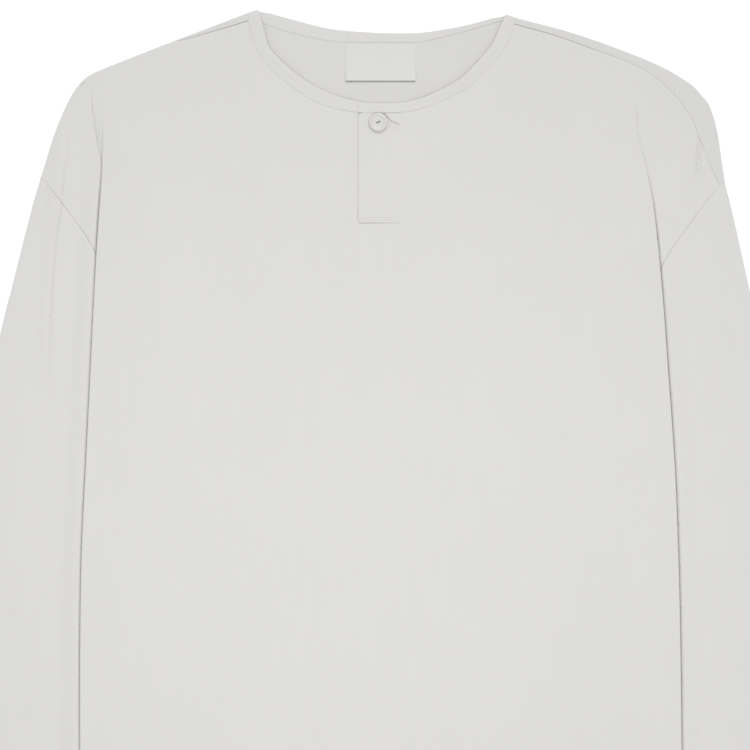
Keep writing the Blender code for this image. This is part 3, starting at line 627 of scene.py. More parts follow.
def armhole_from(side, corner, end=1.0, gap=ARMHOLE_GAP / 2):
    """The armhole seam's points from a panel's corner down."""
    line = armhole_line(side, gap, end)
    nearest = np.linalg.norm(line - corner, axis=1).argmin()
    return along(np.vstack([corner, line[nearest + 2 :]]), np.linspace(0, 1, ARM_ROWS + 1))


def neck_line(side, sections, corner, gap):
    """The neck seam's points from a panel's corner to the middle, moved by `gap` towards the band."""
    seam = curve(sections)[:, :2]
    line = np.vstack([corner, seam[np.linalg.norm(seam - corner, axis=1).argmin() + TIP_SKIP :]])
    line = along(line, np.linspace(0, 1, NECK_ROWS + 1))
    moved = moved_in(side, line, gap)
    moved[-1] = line[-1] + (0, gap)
    return moved


# ---------------------------------------------------------------- front


def fold_rows(top_y):
    """The y of each row at the side fold, from the shoulder to the hem."""
    neck = np.linspace(top_y, CHEST_TOP_Y, NECK_ROWS + 1)
    spread = np.linspace(0, 1, CHEST_ROWS + 1) ** EDGE_SPREAD
    chest = CHEST_TOP_Y + (UNDERARM_Y - CHEST_TOP_Y) * spread
    return np.concatenate([neck, chest[1:], SKIRT_Y])


def middle_rows(neck_y, spread=None):
    """The y of each row on the middle line, below the neck."""
    spread = np.linspace(0, 1, CHEST_ROWS + 1) ** MIDDLE_SPREAD if spread is None else spread
    chest = neck_y + (UNDERARM_Y - neck_y) * spread
    return np.concatenate([chest, SKIRT_Y])


def settle(y):
    """1 while a side of the body lies on its sleeve, 0 below the sleeve's reach."""
    return smooth((np.asarray(y) - SETTLED_Y) / (SETTLE_START_Y - SETTLED_Y))


def pleat(drop, hang):
    """Section through the front's fold: (outward, up) from where the upper cloth starts to turn.

    `hang` is how far the fold hangs over the cloth under it; below 0 it's a slope that wide.
    """
    radius = drop / 4
    run = max(abs(hang), LEAST_RUN)
    turn = math.pi if hang >= 0 else 2 * math.atan2(drop / 2, run)
    steps = np.linspace(0, 1, FINE * TURN_STEPS + 1)
    first = np.stack([radius * np.sin(turn * steps), radius * (np.cos(turn * steps) - 1)], axis=-1)
    middle = first[-1] + run * steps[:, None] * np.array([math.cos(turn), -math.sin(turn)])
    left = turn * (1 - steps)
    last = middle[-1] + radius * np.stack(
        [math.sin(turn) - np.sin(left), math.cos(turn) - np.cos(left)], axis=-1
    )
    section = np.vstack([first, middle[1:], last[1:]])
    lengths = lengths_of(section)
    exact = lengths[::FINE]
    even = np.linspace(0, lengths[-1], len(exact))
    sharp = turn / math.pi
    at = even + (exact - even) * sharp
    return np.stack([np.interp(at, lengths, section[:, axis]) for axis in (0, 1)], axis=-1)


def front_half(side):
    """Grids of the front from its middle line to one side, sharing the points where they meet."""
    main, pleated, outer = shoulder_parts(side)

    def over(parts):
        start = seam_lengths(side, parts, 1)
        end = np.maximum(start, HALF_TURN) + FLAT_START
        return np.array([over_shoulder(side, parts, start + (end - start) * row) for row in SHOULDER_ROWS])

    over_main, over_pleat, over_outer = over(main), over(pleated), over(outer)

    # the side fold and the valley behind it, row by row
    corner = over_main[-1, -1, :2]
    fold_y = fold_rows(corner[1])
    edge = at_heights(curve([corner, *side.fold]), fold_y)
    start = edge - np.array([side.outward * EDGE, 0])
    start[0] = corner
    chest = np.clip((np.arange(ARM_ROWS + 1) - NECK_ROWS) / CHEST_ROWS, 0, 1)
    valley_y = fold_y[: ARM_ROWS + 1] + (side.valley[-1][1] - UNDERARM_Y) * chest**2
    valley = at_heights(curve([over_outer[-1, 0, :2], *side.valley]), valley_y)
    hang = (edge[: ARM_ROWS + 1, 0] - valley[:, 0]) * side.outward
    drop = PLEAT_TOP * smooth((corner[1] - fold_y) / (corner[1] - side.pleat_full_y)) * settle(fold_y)

    # upper cloth, from the middle line to the fold
    neck = neck_line(side, side.neck_front, over_main[-1, 0, :2], -SEAM_GAP / 2)
    neck[0] = over_main[-1, 0, :2]
    middle_y = middle_rows(neck[-1, 1])
    middle = np.stack([np.zeros(len(middle_y)), middle_y], axis=-1)
    hem = np.linspace(middle[-1], start[-1], PANEL_COLUMNS + 1)
    plan = patch(over_main[-1, :, :2], hem, np.vstack([neck, middle[1:]]), start)
    sleeve_edge = at_heights(curve(side.sleeve_inner), fold_y)[:, 0] - side.outward * SLEEVE_CLEAR
    lifted_to = start[:, 0] * side.outward
    lifted_to[: ARM_ROWS + 1] -= np.maximum(hang, 0) + 2 * EDGE
    lifted_to[ARM_ROWS + 1 :] = np.minimum(
        lifted_to[ARM_ROWS + 1 :], sleeve_edge[ARM_ROWS + 1 :] * side.outward
    )
    away = lifted_to[:, None] - plan[..., 0] * side.outward
    lift = drop[:, None] * (1 - smooth((away - RISE_START) / RISE_WIDTH))
    lift[:, -1] = drop
    upper = raised(plan, SECOND + lift)
    grids = [near_seam(near_seam(np.vstack([over_main[:-1], upper])), first=False)]

    # the fold: down, back in and out again above the underarm, and half of that below it
    folds, turns = [], []
    for row in range(len(fold_y)):
        in_chest = row <= ARM_ROWS
        section = pleat(max(drop[row], LEAST_DROP), hang[row]) if in_chest else pleat(PLEAT_TOP, 0)
        plan = start[row] + np.outer(section[:, 0], [side.outward, 0])
        if in_chest:
            share = (np.arange(len(section)) - TURN_STEPS) / TURN_STEPS
            plan[:, 1] += (valley_y[row] - fold_y[row]) * np.clip(share, 0, 1)
        rim = raised(plan, SECOND + drop[row] + section[:, 1])
        if in_chest:
            folds.append(rim)
        if row >= ARM_ROWS:
            turns.append(rim[: TURN_STEPS + 1])
    folds[0] = over_pleat[-1]
    grids.append(np.vstack([over_pleat[:-1], folds]))
    grids.append(np.array(turns))

    # lower cloth, out to the armhole seam
    total = lengths_of(curve(side.armhole))[-1]
    seam = armhole_from(side, over_outer[-1, -1, :2], 1 - LOWER_END / total)
    inner = np.array(folds)[:, -1, :2]
    foot = np.linspace(inner[-1], seam[-1], RUN_COLUMNS + 1)
    lower = raised(patch(over_outer[-1, :, :2], foot, inner, seam), SECOND)
    grids.append(near_seam(near_seam(np.vstack([over_outer[:-1], lower])), first=False))
    return grids


# ---------------------------------------------------------------- back


def back_lift(side, plan):
    """How far the back is lifted where it lies on its sleeve."""
    x, y = plan[..., 0] * side.outward, plan[..., 1]
    sleeve_x = at_heights(curve(side.sleeve_inner), y)[..., 0] * side.outward
    fold_x = at_heights(curve(side.fold), y)[..., 0] * side.outward
    away = np.minimum(sleeve_x, fold_x - EDGE) - x
    on_sleeve = 1 - smooth((away - BACK_RISE_START) / BACK_RISE_WIDTH)
    above = smooth((side.armhole[-1][1] + BACK_CLIMB + 2 - y) / BACK_CLIMB)
    return PLEAT_TOP * on_sleeve * above * settle(y)


def back_half(side):
    """Grids of the back from its middle line to one side."""
    main, pleated, outer = shoulder_parts(side)
    parts = np.concatenate([main, pleated[TURN_STEPS:-1:TURN_STEPS], outer])
    seam = seam_lengths(side, parts, -1)
    fold = np.minimum(HALF_TURN, SEAM_SHARE * seam)
    rows = [over_shoulder(side, parts, seam)]
    rows += [over_shoulder(side, parts, fold * share) for share in np.linspace(1, 0, TURN_STEPS + 1)]
    top = over_shoulder(side, parts, np.full(len(parts), -FLAT_START))

    neck = neck_line(side, side.neck_back, top[0, :2], -BACK_NECK_GAP / 2)
    neck[0] = top[0, :2]
    middle_y = middle_rows(neck[-1, 1], np.interp(np.linspace(0, 1, CHEST_ROWS + 1), *BACK_SPREAD))
    middle = np.stack([np.zeros(len(middle_y)), middle_y], axis=-1)
    armhole = armhole_from(side, top[-1, :2], gap=-BACK_ARM_LAP)
    lap = at_heights(curve(side.lap_line), np.array([side.lap_line[0][1], *SKIRT_Y]))
    lap[0] = armhole[-1]
    outer = np.vstack([armhole, lap[1:]])
    hem = np.linspace(middle[-1], outer[-1], len(parts))
    plan = patch(top[:, :2], hem, np.vstack([neck, middle[1:]]), outer)
    main = raised(plan, FLOOR + back_lift(side, plan))

    # the stretch that lies on the sleeve, out to the side seam
    edge = at_heights(curve(side.fold), np.array([UNDERARM_Y, *SKIRT_Y]))
    edge[:, 0] -= side.outward * (EDGE + SEAM_GAP)
    edge[0, 1] -= 2 * SEAM_GAP
    top_edge = np.linspace(lap[0], edge[0], SIDE_COLUMNS + 1)
    hem = np.linspace(lap[-1], edge[-1], SIDE_COLUMNS + 1)
    plan = patch(top_edge, hem, lap, edge)
    beside = raised(plan, FLOOR + back_lift(side, plan))
    return [near_seam(np.vstack([rows, main])), beside]


# ---------------------------------------------------------------- sleeves and neckband


def turned(points, run, up, radius=TURN):
    """The rows between two layers where cloth turns over, outwards along `run`."""
    hand = -1 if up else 1
    radius = np.broadcast_to(np.asarray(radius, float), len(points))
    return [
        raised(
            points + run * radius[:, None] * math.sin(angle),
            FLOOR + radius + hand * radius * math.cos(angle),
        )
        for angle in np.linspace(0, math.pi, TURN_STEPS + 1)[1:-1]
    ]


def sleeve_sections(side):
    """Flattened rings from the armhole to the cuff: front, inner fold, back, outer fold."""
    length = lengths_of(curve(side.sleeve_outer))[-1]
    near = np.array([0, *NEAR_SEAM, 5, 9]) / length
    even = np.linspace(14 / length, 1 - (HEM_STEPS[0] + 5) / length, SLEEVE_ROWS)
    steps = np.concatenate([near, even, 1 - np.array(HEM_STEPS) / length])
    armhole = armhole_line(side, -ARMHOLE_GAP / 2, steps=SLEEVE_COLUMNS)
    outline = along(curve(side.sleeve_outer), steps)
    under = along(curve(side.sleeve_inner), steps)
    outline[0], under[0] = armhole[0], armhole[-1]
    outer_run, under_run = -inward(side, outline), inward(side, under)
    outer_run[0] = (armhole[0] - armhole[1]) / np.linalg.norm(armhole[0] - armhole[1])
    under_run[0] = (armhole[-1] - armhole[-2]) / np.linalg.norm(armhole[-1] - armhole[-2])
    for run in (outer_run, under_run):
        blend = smooth(steps * length / SLEEVE_BLEND)[:, None]
        run[:] = run[0] * (1 - blend) + run * blend
        run /= np.linalg.norm(run, axis=1)[:, None]
    outer, inner = outline - outer_run * EDGE, under - under_run * EDGE
    armhole[0], armhole[-1] = outer[0], inner[0]
    cuff = np.linspace(outer[-1], inner[-1], SLEEVE_COLUMNS + 1)
    plan = patch(armhole, cuff, outer, inner)
    from_edge = (1 - steps) * length
    height = PITCH * (1 + HEM_SWELL * hem_share(from_edge))
    dip = hem_dip(from_edge)
    top = FLOOR + height - dip - SEAM_DIP * bump(steps * length / SEAM_DIP_WIDTH)
    lift = crease_lift(plan, SHOULDER_CREASES[side.name] + SLEEVE_CREASES[side.name])
    lift += beside_fold(raised(plan, SECOND), side)
    ring = [raised(plan[:, column], top + lift[:, column]) for column in range(SLEEVE_COLUMNS + 1)]
    ring += turned(inner, under_run, False, height / 2)
    ring += [raised(plan[:, column], FLOOR + dip / 2) for column in range(SLEEVE_COLUMNS, -1, -1)]
    ring += turned(outer, outer_run, True, height / 2)
    ring.append(ring[0])
    return np.stack(ring, axis=1)


def band_stretch(side, sections, corner):
    """The neckband's sections from a tip of the neck to the middle, one at each point of the seam."""
    table = curve(sections)
    line = neck_line(side, sections, corner, SEAM_GAP / 2)
    tip = shoulder_points(side, shoulder_parts(side)[0][:1], np.array([EDGE]))[0]
    over = np.linspace(tip, corner, TIP_ROWS + 1)[:-1] + (line[0] - corner)
    seam = np.vstack([over, line])
    nearest = [np.linalg.norm(table[:, :2] - point, axis=1).argmin() for point in seam]
    free = table[nearest, 2:]
    settled = TIP_ROWS + TIP_BLEND
    share = (lengths_of(seam) / lengths_of(seam)[settled])[:settled, None]
    free[:settled] = table[0, 2:] * (1 - share) + free[settled] * share
    return np.hstack([seam, free]).reshape(-1, 2, 2)


def band_sections():
    """The neckband from its under end, round the neck to its upper end."""
    stretches = []
    for side in (LEFT, RIGHT):
        parts = shoulder_parts(side)[0][:1]
        length = seam_lengths(side, parts, 1)
        front_corner = over_shoulder(side, parts, length + FLAT_START)[0, :2]
        back_corner = over_shoulder(side, parts, np.array([-FLAT_START]))[0, :2]
        stretches.append(band_stretch(side, side.neck_front, front_corner))
        stretches.append(band_stretch(side, side.neck_back, back_corner))
    left_front, left_back, right_front, right_back = stretches
    under_end = [left_front[-1] + (UNDER_EDGE * share, 0) for share in (1, 0.5)]
    under_drop = UNDER_DROP * smooth((left_front[:, 0, 0] - SLIT_LEFT) / UNDER_SLOPE)
    shares = np.linspace(0, 1, 6)[1:]
    upper_end = [right_front[-1] + ((SLIT_LEFT - LAP) * part, SEAM_GAP * part) for part in shares]
    right_front = np.vstack([right_front, upper_end])

    def tip(section):
        """The way that the band turns over at a tip of the neck."""
        across = section[1] - section[0]
        out = np.array([-across[1], across[0]]) * np.sign(across[0])
        return out / np.linalg.norm(out)

    def free_lift(stretch):
        """How far each section's seam side and free side are lifted."""
        length = lengths_of(stretch.mean(axis=1))
        rise = (FREE_LIFT_TIP - FREE_LIFT_MIDDLE) * smooth((length[-1] - length) / FREE_LIFT_RUN)
        lift = smooth(length / FREE_LIFT_START) * (FREE_LIFT_MIDDLE + rise)
        return np.stack([np.zeros(len(lift)), lift], axis=-1)

    left_height = SECOND - under_drop[:, None] + free_lift(left_front)
    sections = [raised(section, left_height[-1]) for section in under_end]
    sections += [raised(section, height) for section, height in zip(left_front[::-1], left_height[::-1])]
    sections += turned(left_front[0], tip(left_front[0]), up=False)
    sections += [raised(section, FLOOR) for section in (*left_back, *right_back[-2::-1])]
    sections += turned(right_front[0], tip(right_front[0]), up=True)
    heights = SECOND + placket_lift(right_front[:, 0, 0])[:, None] + free_lift(right_front)
    sections += [raised(section, height) for section, height in zip(right_front, heights)]
    return np.array(sections)


# ---------------------------------------------------------------- materials


# Patterns, as repeats to the metre, or as sizes in millimetres
FUZZ = 900  # ends of fibres, 1.1 mm apart
YARN_STREAKS = (260, 14, 1)  # thick and thin stretches of yarn, 4 by 70 mm
CLOUDS = 16  # the cloth's faint unevenness, 6 cm across
COURSE_SHARE = 0.72  # the height of a row of loops, as a part of the wale's width
WEFT_RIB, WARP_RIB = 1.1, 1.7  # the tape's ribs in millimetres, as drawn
THREADS = 240  # the tape's faint unevenness, 4 mm across
RESIN_CLOUDS, TUMBLING_MARKS = 350, 2500  # 3 mm and 0.4 mm across
PLIES = 300  # bands of a thread's plies, as drawn
TOOTH = 700  # the paper's grain, 1.4 mm across


def linear(colour):
    """A colour written as sRGB hex, such as "#DDDCDA", as linear red, green and blue."""
    parts = [int(colour[at : at + 2], 16) / 255 for at in (1, 3, 5)]
    return tuple(part / 12.92 if part <= 0.04045 else ((part + 0.055) / 1.055) ** 2.4 for part in parts)


def shade(colour, factor=1.0):
    """The colour made darker or lighter, as a colour ramp takes it."""
    return (*[min(1.0, part * factor) for part in colour], 1)


def add_node(tree, kind, inputs=(), out=0, ramp=(), **settings):
    """Adds a shader node with its settings and links, and gives back one of its outputs.

    `inputs` are values or other nodes' outputs, in order or by name. `ramp` holds the
    (position, colour) stops of a colour ramp.
    """
    made = tree.nodes.new("ShaderNode" + kind)
    for name, value in settings.items():
        setattr(made, name, value)
    for (position, colour), stop in zip(ramp, made.color_ramp.elements if ramp else ()):
        stop.position, stop.color = position, colour
    for name, value in inputs.items() if isinstance(inputs, dict) else enumerate(inputs):
        if isinstance(value, bpy.types.NodeSocket):
            tree.links.new(value, made.inputs[name])
        else:
            made.inputs[name].default_value = value
    return made.outputs[out]


def new_material(name, **shader_values):
    """A material and its node tree and shader, with constants set on the shader's own sockets."""
    made = bpy.data.materials.new(name)
    made.use_nodes = True
    shader = made.node_tree.nodes["Principled BSDF"]
    for socket, value in shader_values.items():
        shader.inputs[socket.replace("_", " ")].default_value = value
    return made, made.node_tree, shader


def link_finish(tree, shader, colour, relief, strength, distance):
    """Links the shader to its colour, and to a relief as high as `distance` in metres."""
    tree.links.new(colour, shader.inputs["Base Color"])
    normal = add_node(tree, "Bump", {"Height": relief, "Strength": strength, "Distance": distance})
    tree.links.new(normal, shader.inputs["Normal"])


def jersey(name, wale, colour):
    """Single jersey of combed cotton, knitted on a circular machine and washed.

    It gives a dull, slightly warm white with a soft bloom at grazing angles. The wales run
    down the piece. Real ones are 0.8 mm apart and too fine to show, so they're drawn coarser.
    """
    made, tree, shader = new_material(
        name, Roughness=0.9, IOR=1.5, Specular_IOR_Level=0.3, Sheen_Weight=0.12, Sheen_Roughness=0.5,
    )
    node = partial(add_node, tree)
    place = node("UVMap", uv_map="cloth")
    across = node("SeparateXYZ", [place])
    down = across.node.outputs["Y"]
    leg = node("Math", [node("Math", [across, wale], operation="DIVIDE"), 0.5], operation="PINGPONG")
    course = node("Math", [down, wale * COURSE_SHARE], operation="DIVIDE")
    slant = node("Math", [node("Math", [course, leg], operation="ADD"), 2 * math.pi], operation="MULTIPLY")
    loops = node("Math", [node("Math", [slant], operation="SINE"), 0.3], operation="MULTIPLY")
    rib = node("Math", [node("Math", [leg, math.pi], operation="MULTIPLY")], operation="SINE")
    fibres = node("TexNoise", {"Vector": place, "Scale": FUZZ, "Detail": 3})
    fuzz = node("Math", [fibres, 0.8], operation="MULTIPLY")
    relief = node("Math", [node("Math", [rib, loops], operation="ADD"), fuzz], operation="ADD")
    yarn = node("Mapping", {"Vector": place, "Scale": YARN_STREAKS})
    streaks = node("TexNoise", {"Vector": yarn, "Scale": 1, "Detail": 2})
    clouds = node("TexNoise", {"Vector": place, "Scale": CLOUDS, "Detail": 3})
    parts = [node("Math", [pattern, 0.5], operation="MULTIPLY") for pattern in (streaks, clouds)]
    uneven = node("Math", parts, operation="ADD")
    tint = node("ValToRGB", [uneven], ramp=[(0.35, shade(colour, 0.99)), (0.65, shade(colour, 1.006))])
    link_finish(tree, shader, tint, relief, 0.2, 0.0001)
    return made


def woven_tape(name, colour, foot_shadow_colour):
    """Polyester satin tape, woven on a needle loom: a smooth white with fine ribs across it.

    Along its foot a thin dark band is painted shadow, the shadow under the lifted foot drawn as colour. The
    ribs are drawn coarser than real ones, which are too fine to show.
    """
    made, tree, shader = new_material(
        name, Roughness=0.55, IOR=1.5, Specular_IOR_Level=0.4, Sheen_Weight=0.1,
    )
    node = partial(add_node, tree)
    place = node("UVMap", uv_map="cloth")
    across = node("SeparateXYZ", [place])
    warp, weft = [
        node("Math", [node("Math", [axis, 2 * math.pi / (rib * MM)], operation="MULTIPLY")], operation="SINE")
        for axis, rib in ((across, WARP_RIB), (across.node.outputs["Y"], WEFT_RIB))
    ]
    relief = node("Math", [weft, node("Math", [warp, 0.4], operation="MULTIPLY")], operation="ADD")
    threads = node("TexNoise", {"Vector": place, "Scale": THREADS, "Detail": 2})
    tint = node("ValToRGB", [threads], ramp=[(0, shade(colour, 0.97)), (1, shade(colour))])
    # painted shadow: a thin dark band along the foot stands in for the shadow under the lifted foot
    y = node("SeparateXYZ", [node("TexCoord", out="Object")], out="Y")
    foot_shadow_top = (LABEL_Y - LABEL_HEIGHT / 2 + LABEL_FOOT_SHADOW) * MM
    at_foot = node("Math", [y, foot_shadow_top], operation="LESS_THAN")
    # sockets 6 and 7 of a mix node are its two colours, and its output 2 is their mix
    with_foot_shadow = node("Mix", {0: at_foot, 6: tint, 7: shade(foot_shadow_colour)}, out=2, data_type="RGBA")
    link_finish(tree, shader, with_foot_shadow, relief, 0.25, 0.0001)
    return made


def resin(name, colour):
    """Cast polyester resin, turned and tumbled: off-white, a satin gloss, faintly clouded."""
    made, tree, shader = new_material(
        name, Roughness=0.32, IOR=1.56, Coat_Weight=0.15, Coat_Roughness=0.2,
    )
    place = add_node(tree, "TexCoord", out="Object")
    clouds = add_node(
        tree, "TexNoise", {"Vector": place, "Scale": RESIN_CLOUDS, "Detail": 4, "Distortion": 1.5},
    )
    tint = add_node(tree, "ValToRGB", [clouds], ramp=[(0, shade(colour, 0.93)), (1, shade(colour))])
    marks = add_node(tree, "TexNoise", {"Vector": place, "Scale": TUMBLING_MARKS, "Detail": 2})
    link_finish(tree, shader, tint, marks, 0.08, 0.00005)
    return made


def spun_thread(name, colour):
    """Spun polyester sewing thread, two plies twisted: dull, with slanting plies."""
    made, tree, shader = new_material(
        name, Roughness=0.75, IOR=1.5, Specular_IOR_Level=0.3, Sheen_Weight=0.2,
    )
    place = add_node(tree, "TexCoord", out="Object")
    plies = add_node(
        tree, "TexWave", {"Vector": place, "Scale": PLIES, "Distortion": 1.5, "Detail": 1},
        out="Fac", bands_direction="DIAGONAL",
    )
    tint = add_node(tree, "ValToRGB", [plies], ramp=[(0, shade(colour, 0.88)), (1, shade(colour))])
    link_finish(tree, shader, tint, plies, 0.3, 0.00008)
    return made


def paper_sweep(name, colour, glow):
    """Matte white background paper, lit to a clean white, with a faint tooth."""
    made, tree, shader = new_material(
        name, Roughness=0.95, Specular_IOR_Level=0.2, Emission_Color=shade(colour), Emission_Strength=glow,
    )
    place = add_node(tree, "TexCoord", out="Object")
    tooth = add_node(tree, "TexNoise", {"Vector": place, "Scale": TOOTH, "Detail": 3})
    tint = add_node(tree, "ValToRGB", [tooth], ramp=[(0, shade(colour, 0.98)), (1, shade(colour))])
    tree.links.new(tint, shader.inputs["Base Color"])
    return made


# ---------------------------------------------------------------- pieces


def placed(name, data, place=(0, 0, 0)):
    """Puts an object with this data into the scene."""
    made = bpy.data.objects.new(name, data)
    made.location = place
    bpy.context.scene.collection.objects.link(made)
    return made


def mesh_object(name, mesh, material=None):
    """A finished bmesh as an object in the scene."""
    data = bpy.data.meshes.new(name)
    mesh.to_mesh(data)
    mesh.free()
    if material:
        data.materials.append(material)
    return placed(name, data)


def new_piece(name, mesh, material, replaced=None):
    """The mesh as a piece of the shirt, riding on its body, in the place of a node if it has one."""
    piece = mesh_object(name, mesh, material)
    piece.data.shade_smooth()
    if replaced:
        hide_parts(replaced)
    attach(piece, "root")
    return piece


def applied(piece):
    """Keeps the shape that a piece's modifiers give it, with sharp shading at its rims."""
    bpy.context.view_layer.update()
    depsgraph = bpy.context.evaluated_depsgraph_get()
    data = bpy.data.meshes.new_from_object(piece.evaluated_get(depsgraph), depsgraph=depsgraph)
    piece.modifiers.clear()
    piece.data = data
    data.shade_smooth()
    data.set_sharp_from_angle(angle=SHARP)
    return piece


def add_wall(piece, thickness, rounded=0.0):
    """Gives open cloth its real thickness, and may round its rim."""
    solid = piece.modifiers.new("wall", "SOLIDIFY")
    solid.thickness = thickness
    solid.offset = 0
    if rounded:
        bevel = piece.modifiers.new("rim", "BEVEL")
        bevel.width = rounded
        bevel.segments = 2
        bevel.limit_method = "ANGLE"
        bevel.angle_limit = RIM_ANGLE
    return applied(piece)


def add_grid(mesh, points, flat):
    """A grid of faces on rows and columns of points, with `flat` as its place in the cloth."""
    uv = mesh.loops.layers.uv.get("cloth") or mesh.loops.layers.uv.new("cloth")
    rows, columns = points.shape[:2]
    made = bmesh.ops.create_grid(mesh, x_segments=columns - 1, y_segments=rows - 1, size=0.5)
    for vertex in made["verts"]:
        column = round((vertex.co.x + 0.5) * (columns - 1))
        row = round((0.5 - vertex.co.y) * (rows - 1))
        vertex.co = Vector(points[row, column] * MM)
        place = Vector(flat[row, column] * MM)
        for loop in vertex.link_loops:
            loop[uv].uv = place


def turned_plan(points, axis=(0, -1)):
    """Plan places turned so that the cloth's wales run along `axis`."""
    along_axis = np.array(axis, float) / np.linalg.norm(axis)
    across = np.array([-along_axis[1], along_axis[0]])
    return np.stack([points[..., :2] @ across, points[..., :2] @ along_axis], axis=-1)


def cloth_mesh(grids, flats=None):
    """The grids joined where they meet; `flats` are their places in the cloth."""
    mesh = bmesh.new()
    for points, flat in zip(grids, flats or [turned_plan(points) for points in grids]):
        add_grid(mesh, points, flat)
    bmesh.ops.remove_doubles(mesh, verts=mesh.verts, dist=MERGE * MM)
    bmesh.ops.recalc_face_normals(mesh, faces=mesh.faces)
    return mesh


def rolled(rows, hand):
    """The rows that turn a hem's edge under, from the cloth's last two rows.

    `hand` says on which side of the cloth they turn.
    """
    edge = rows[-1]
    out = edge - rows[-2]
    out /= np.linalg.norm(out, axis=-1, keepdims=True)
    run = np.gradient(edge, axis=0)
    if np.allclose(edge[0], edge[-1]):
        run[0] = run[-1] = edge[1] - edge[-2]
    into = hand * np.cross(out, run)
    into /= np.linalg.norm(into, axis=-1, keepdims=True)
    turn = [
        edge + out * HEM_TURN * math.sin(angle) + into * HEM_TURN * (1 - math.cos(angle))
        for angle in np.linspace(0, math.pi, TURN_STEPS)
    ]
    return np.array(turn + [turn[-1] - out * HEM_TUCK])


def top_share(plan, side):
    """1 on the open front, 0 at its edges, where it has to keep to its neighbours."""
    away, y = np.abs(plan[..., 0]), plan[..., 1]
    shoulder = curve(side.shoulder)
    top = np.interp(away, shoulder[:, 0] * side.outward, shoulder[:, 1])
    neck = curve(side.neck_front)
    seam = np.interp(away, (neck[:, 0] * side.outward)[::-1], neck[::-1, 1], right=FAR)
    edges = top - SHOULDER_MARGIN, np.where(away < NECK_SIDE_X, seam - NECK_MARGIN, FAR)
    from_fold = at_heights(curve(side.fold), y)[..., 0] * side.outward - away
    from_slit = np.maximum(away - SLIT_MARGIN_X, SLIT_MARGIN_Y - y)
    return (
        smooth((np.minimum(*edges) - y) / TOP_FADE) * smooth(from_fold / FOLD_FADE)
        * smooth((y - HEM_Y - HEM_MARGIN) / TOP_FADE) * smooth(from_slit / SLIT_FADE)
    )


def ridge(x):
    """How far the seam allowance beside the placket raises the cloth over it."""
    rise = smooth((x - RIDGE_START) / (RIDGE_CREST - RIDGE_START))
    return RIDGE_HEIGHT * rise * smooth((RIDGE_END - x) / (RIDGE_END - RIDGE_CREST))


def open_slit(mesh):
    """Cuts the placket's slit, with its seam allowance as a low ridge along the left edge."""
    near = []
    for face in mesh.faces:
        centre = face.calc_center_median() / MM
        if abs(centre.x) < SLIT_REACH and centre.y > SLIT_FOOT - SLIT_BELOW:
            near.append(face)
    cuts = [((x * MM, 0, 0), (1, 0, 0)) for x in (*RIDGE_LINES, SLIT_LEFT, SLIT_RIGHT)]
    cuts += [((0, (SLIT_FOOT - below) * MM, 0), (0, 1, 0)) for below in (RIDGE_FADE / 2, RIDGE_FADE / 4, 0)]
    for point, normal in cuts:
        geometry = set(near)
        for face in near:
            geometry.update(face.verts)
            geometry.update(face.edges)
        made = bmesh.ops.bisect_plane(
            mesh, geom=list(geometry), dist=1e-7, plane_co=point, plane_no=normal,
        )
        near = [item for item in made["geom"] if isinstance(item, bmesh.types.BMFace)]
    gone = []
    for face in near:
        centre = face.calc_center_median() / MM
        if SLIT_LEFT < centre.x < SLIT_RIGHT and centre.y > SLIT_FOOT:
            gone.append(face)
    bmesh.ops.delete(mesh, geom=gone, context="FACES")
    for vertex in mesh.verts:
        x, y = vertex.co.x / MM, vertex.co.y / MM
        if y > SLIT_FOOT - RIDGE_FADE:
            rise = smooth((y - SLIT_FOOT + RIDGE_FADE / 2) / RIDGE_FADE)
            vertex.co.z += ridge(x) * MM * float(rise)


def front_piece(cloth):
    grids = []
    for side in (LEFT, RIGHT):
        made = front_half(side)
        upper, folds, _, lower = made
        top = len(SHOULDER_ROWS) - 1
        shoulder = on_top(np.vstack([upper[0], folds[0], lower[0]]))
        neck = upper[top : top + NECK_ROWS + 1, 0, :2]
        for index, points in enumerate(made):
            plan = points[..., :2]
            dip = hem_dip(plan[..., 1] - HEM_Y) * (points[..., 2] > FLOOR + TURN)
            beside = seam_dip(points, shoulder, lower[top:, -1, :2])
            dip += beside + seam_dip(points, neck, depth=NECK_DIP)
            lift = crease_lift(plan, FRONT_CREASES + SHOULDER_CREASES[side.name])
            lift += ripple(plan) * top_share(plan, side) - pressed(points, side)
            if points is lower:
                lift += beside_fold(points, side) * smooth(np.arange(points.shape[1]) / SWELL_COLUMNS)
            made[index] = hemmed(points, lift - dip)
        upper, _, turns, _ = made
        grids += [*made, rolled(np.hstack([upper[-2:], turns[-2:, 1:]]), -side.outward)]
    mesh = cloth_mesh(grids)
    open_slit(mesh)
    material = jersey("jersey_face", cloth.wale, cloth.colour)
    return add_wall(new_piece("front_cloth", mesh, material, "front_panel"), cloth.wall)


def back_piece(cloth):
    grids = []
    for side in (LEFT, RIGHT):
        main, beside = back_half(side)
        plan = main[..., :2]
        wrapped, hidden = crease_lift(plan, SHOULDER_CREASES[side.name]), crease_lift(plan, BACK_CREASES)
        in_front = main[..., 2] > SECOND - TURN / 2
        main[..., 2] += np.where(in_front, wrapped, hidden) - seam_dip(main, on_top(main[0]))
        grids += [main, beside, rolled(np.hstack([main[-2:], beside[-2:, 1:]]), side.outward)]
    # the back's colour is a shade darker, partly the duller reverse of the knit, partly painted shade for the
    # inside under the front
    material = jersey("jersey_reverse_and_inside_shade", cloth.wale, cloth.reverse)
    return add_wall(new_piece("back_cloth", cloth_mesh(grids), material, "back_panel"), cloth.wall)


def sleeve_piece(side, cloth):
    ring = sleeve_sections(side)
    run = ring[-1, :, :2].mean(axis=0) - ring[0, :, :2].mean(axis=0)
    grids = [ring, rolled(ring[-2:], side.outward)]
    mesh = cloth_mesh(grids, [turned_plan(points, run) for points in grids])
    name = f"sleeve_{side.name}"
    material = jersey("jersey_" + name, cloth.wale, cloth.colour)
    return add_wall(new_piece(name + "_cloth", mesh, material, name), cloth.wall)


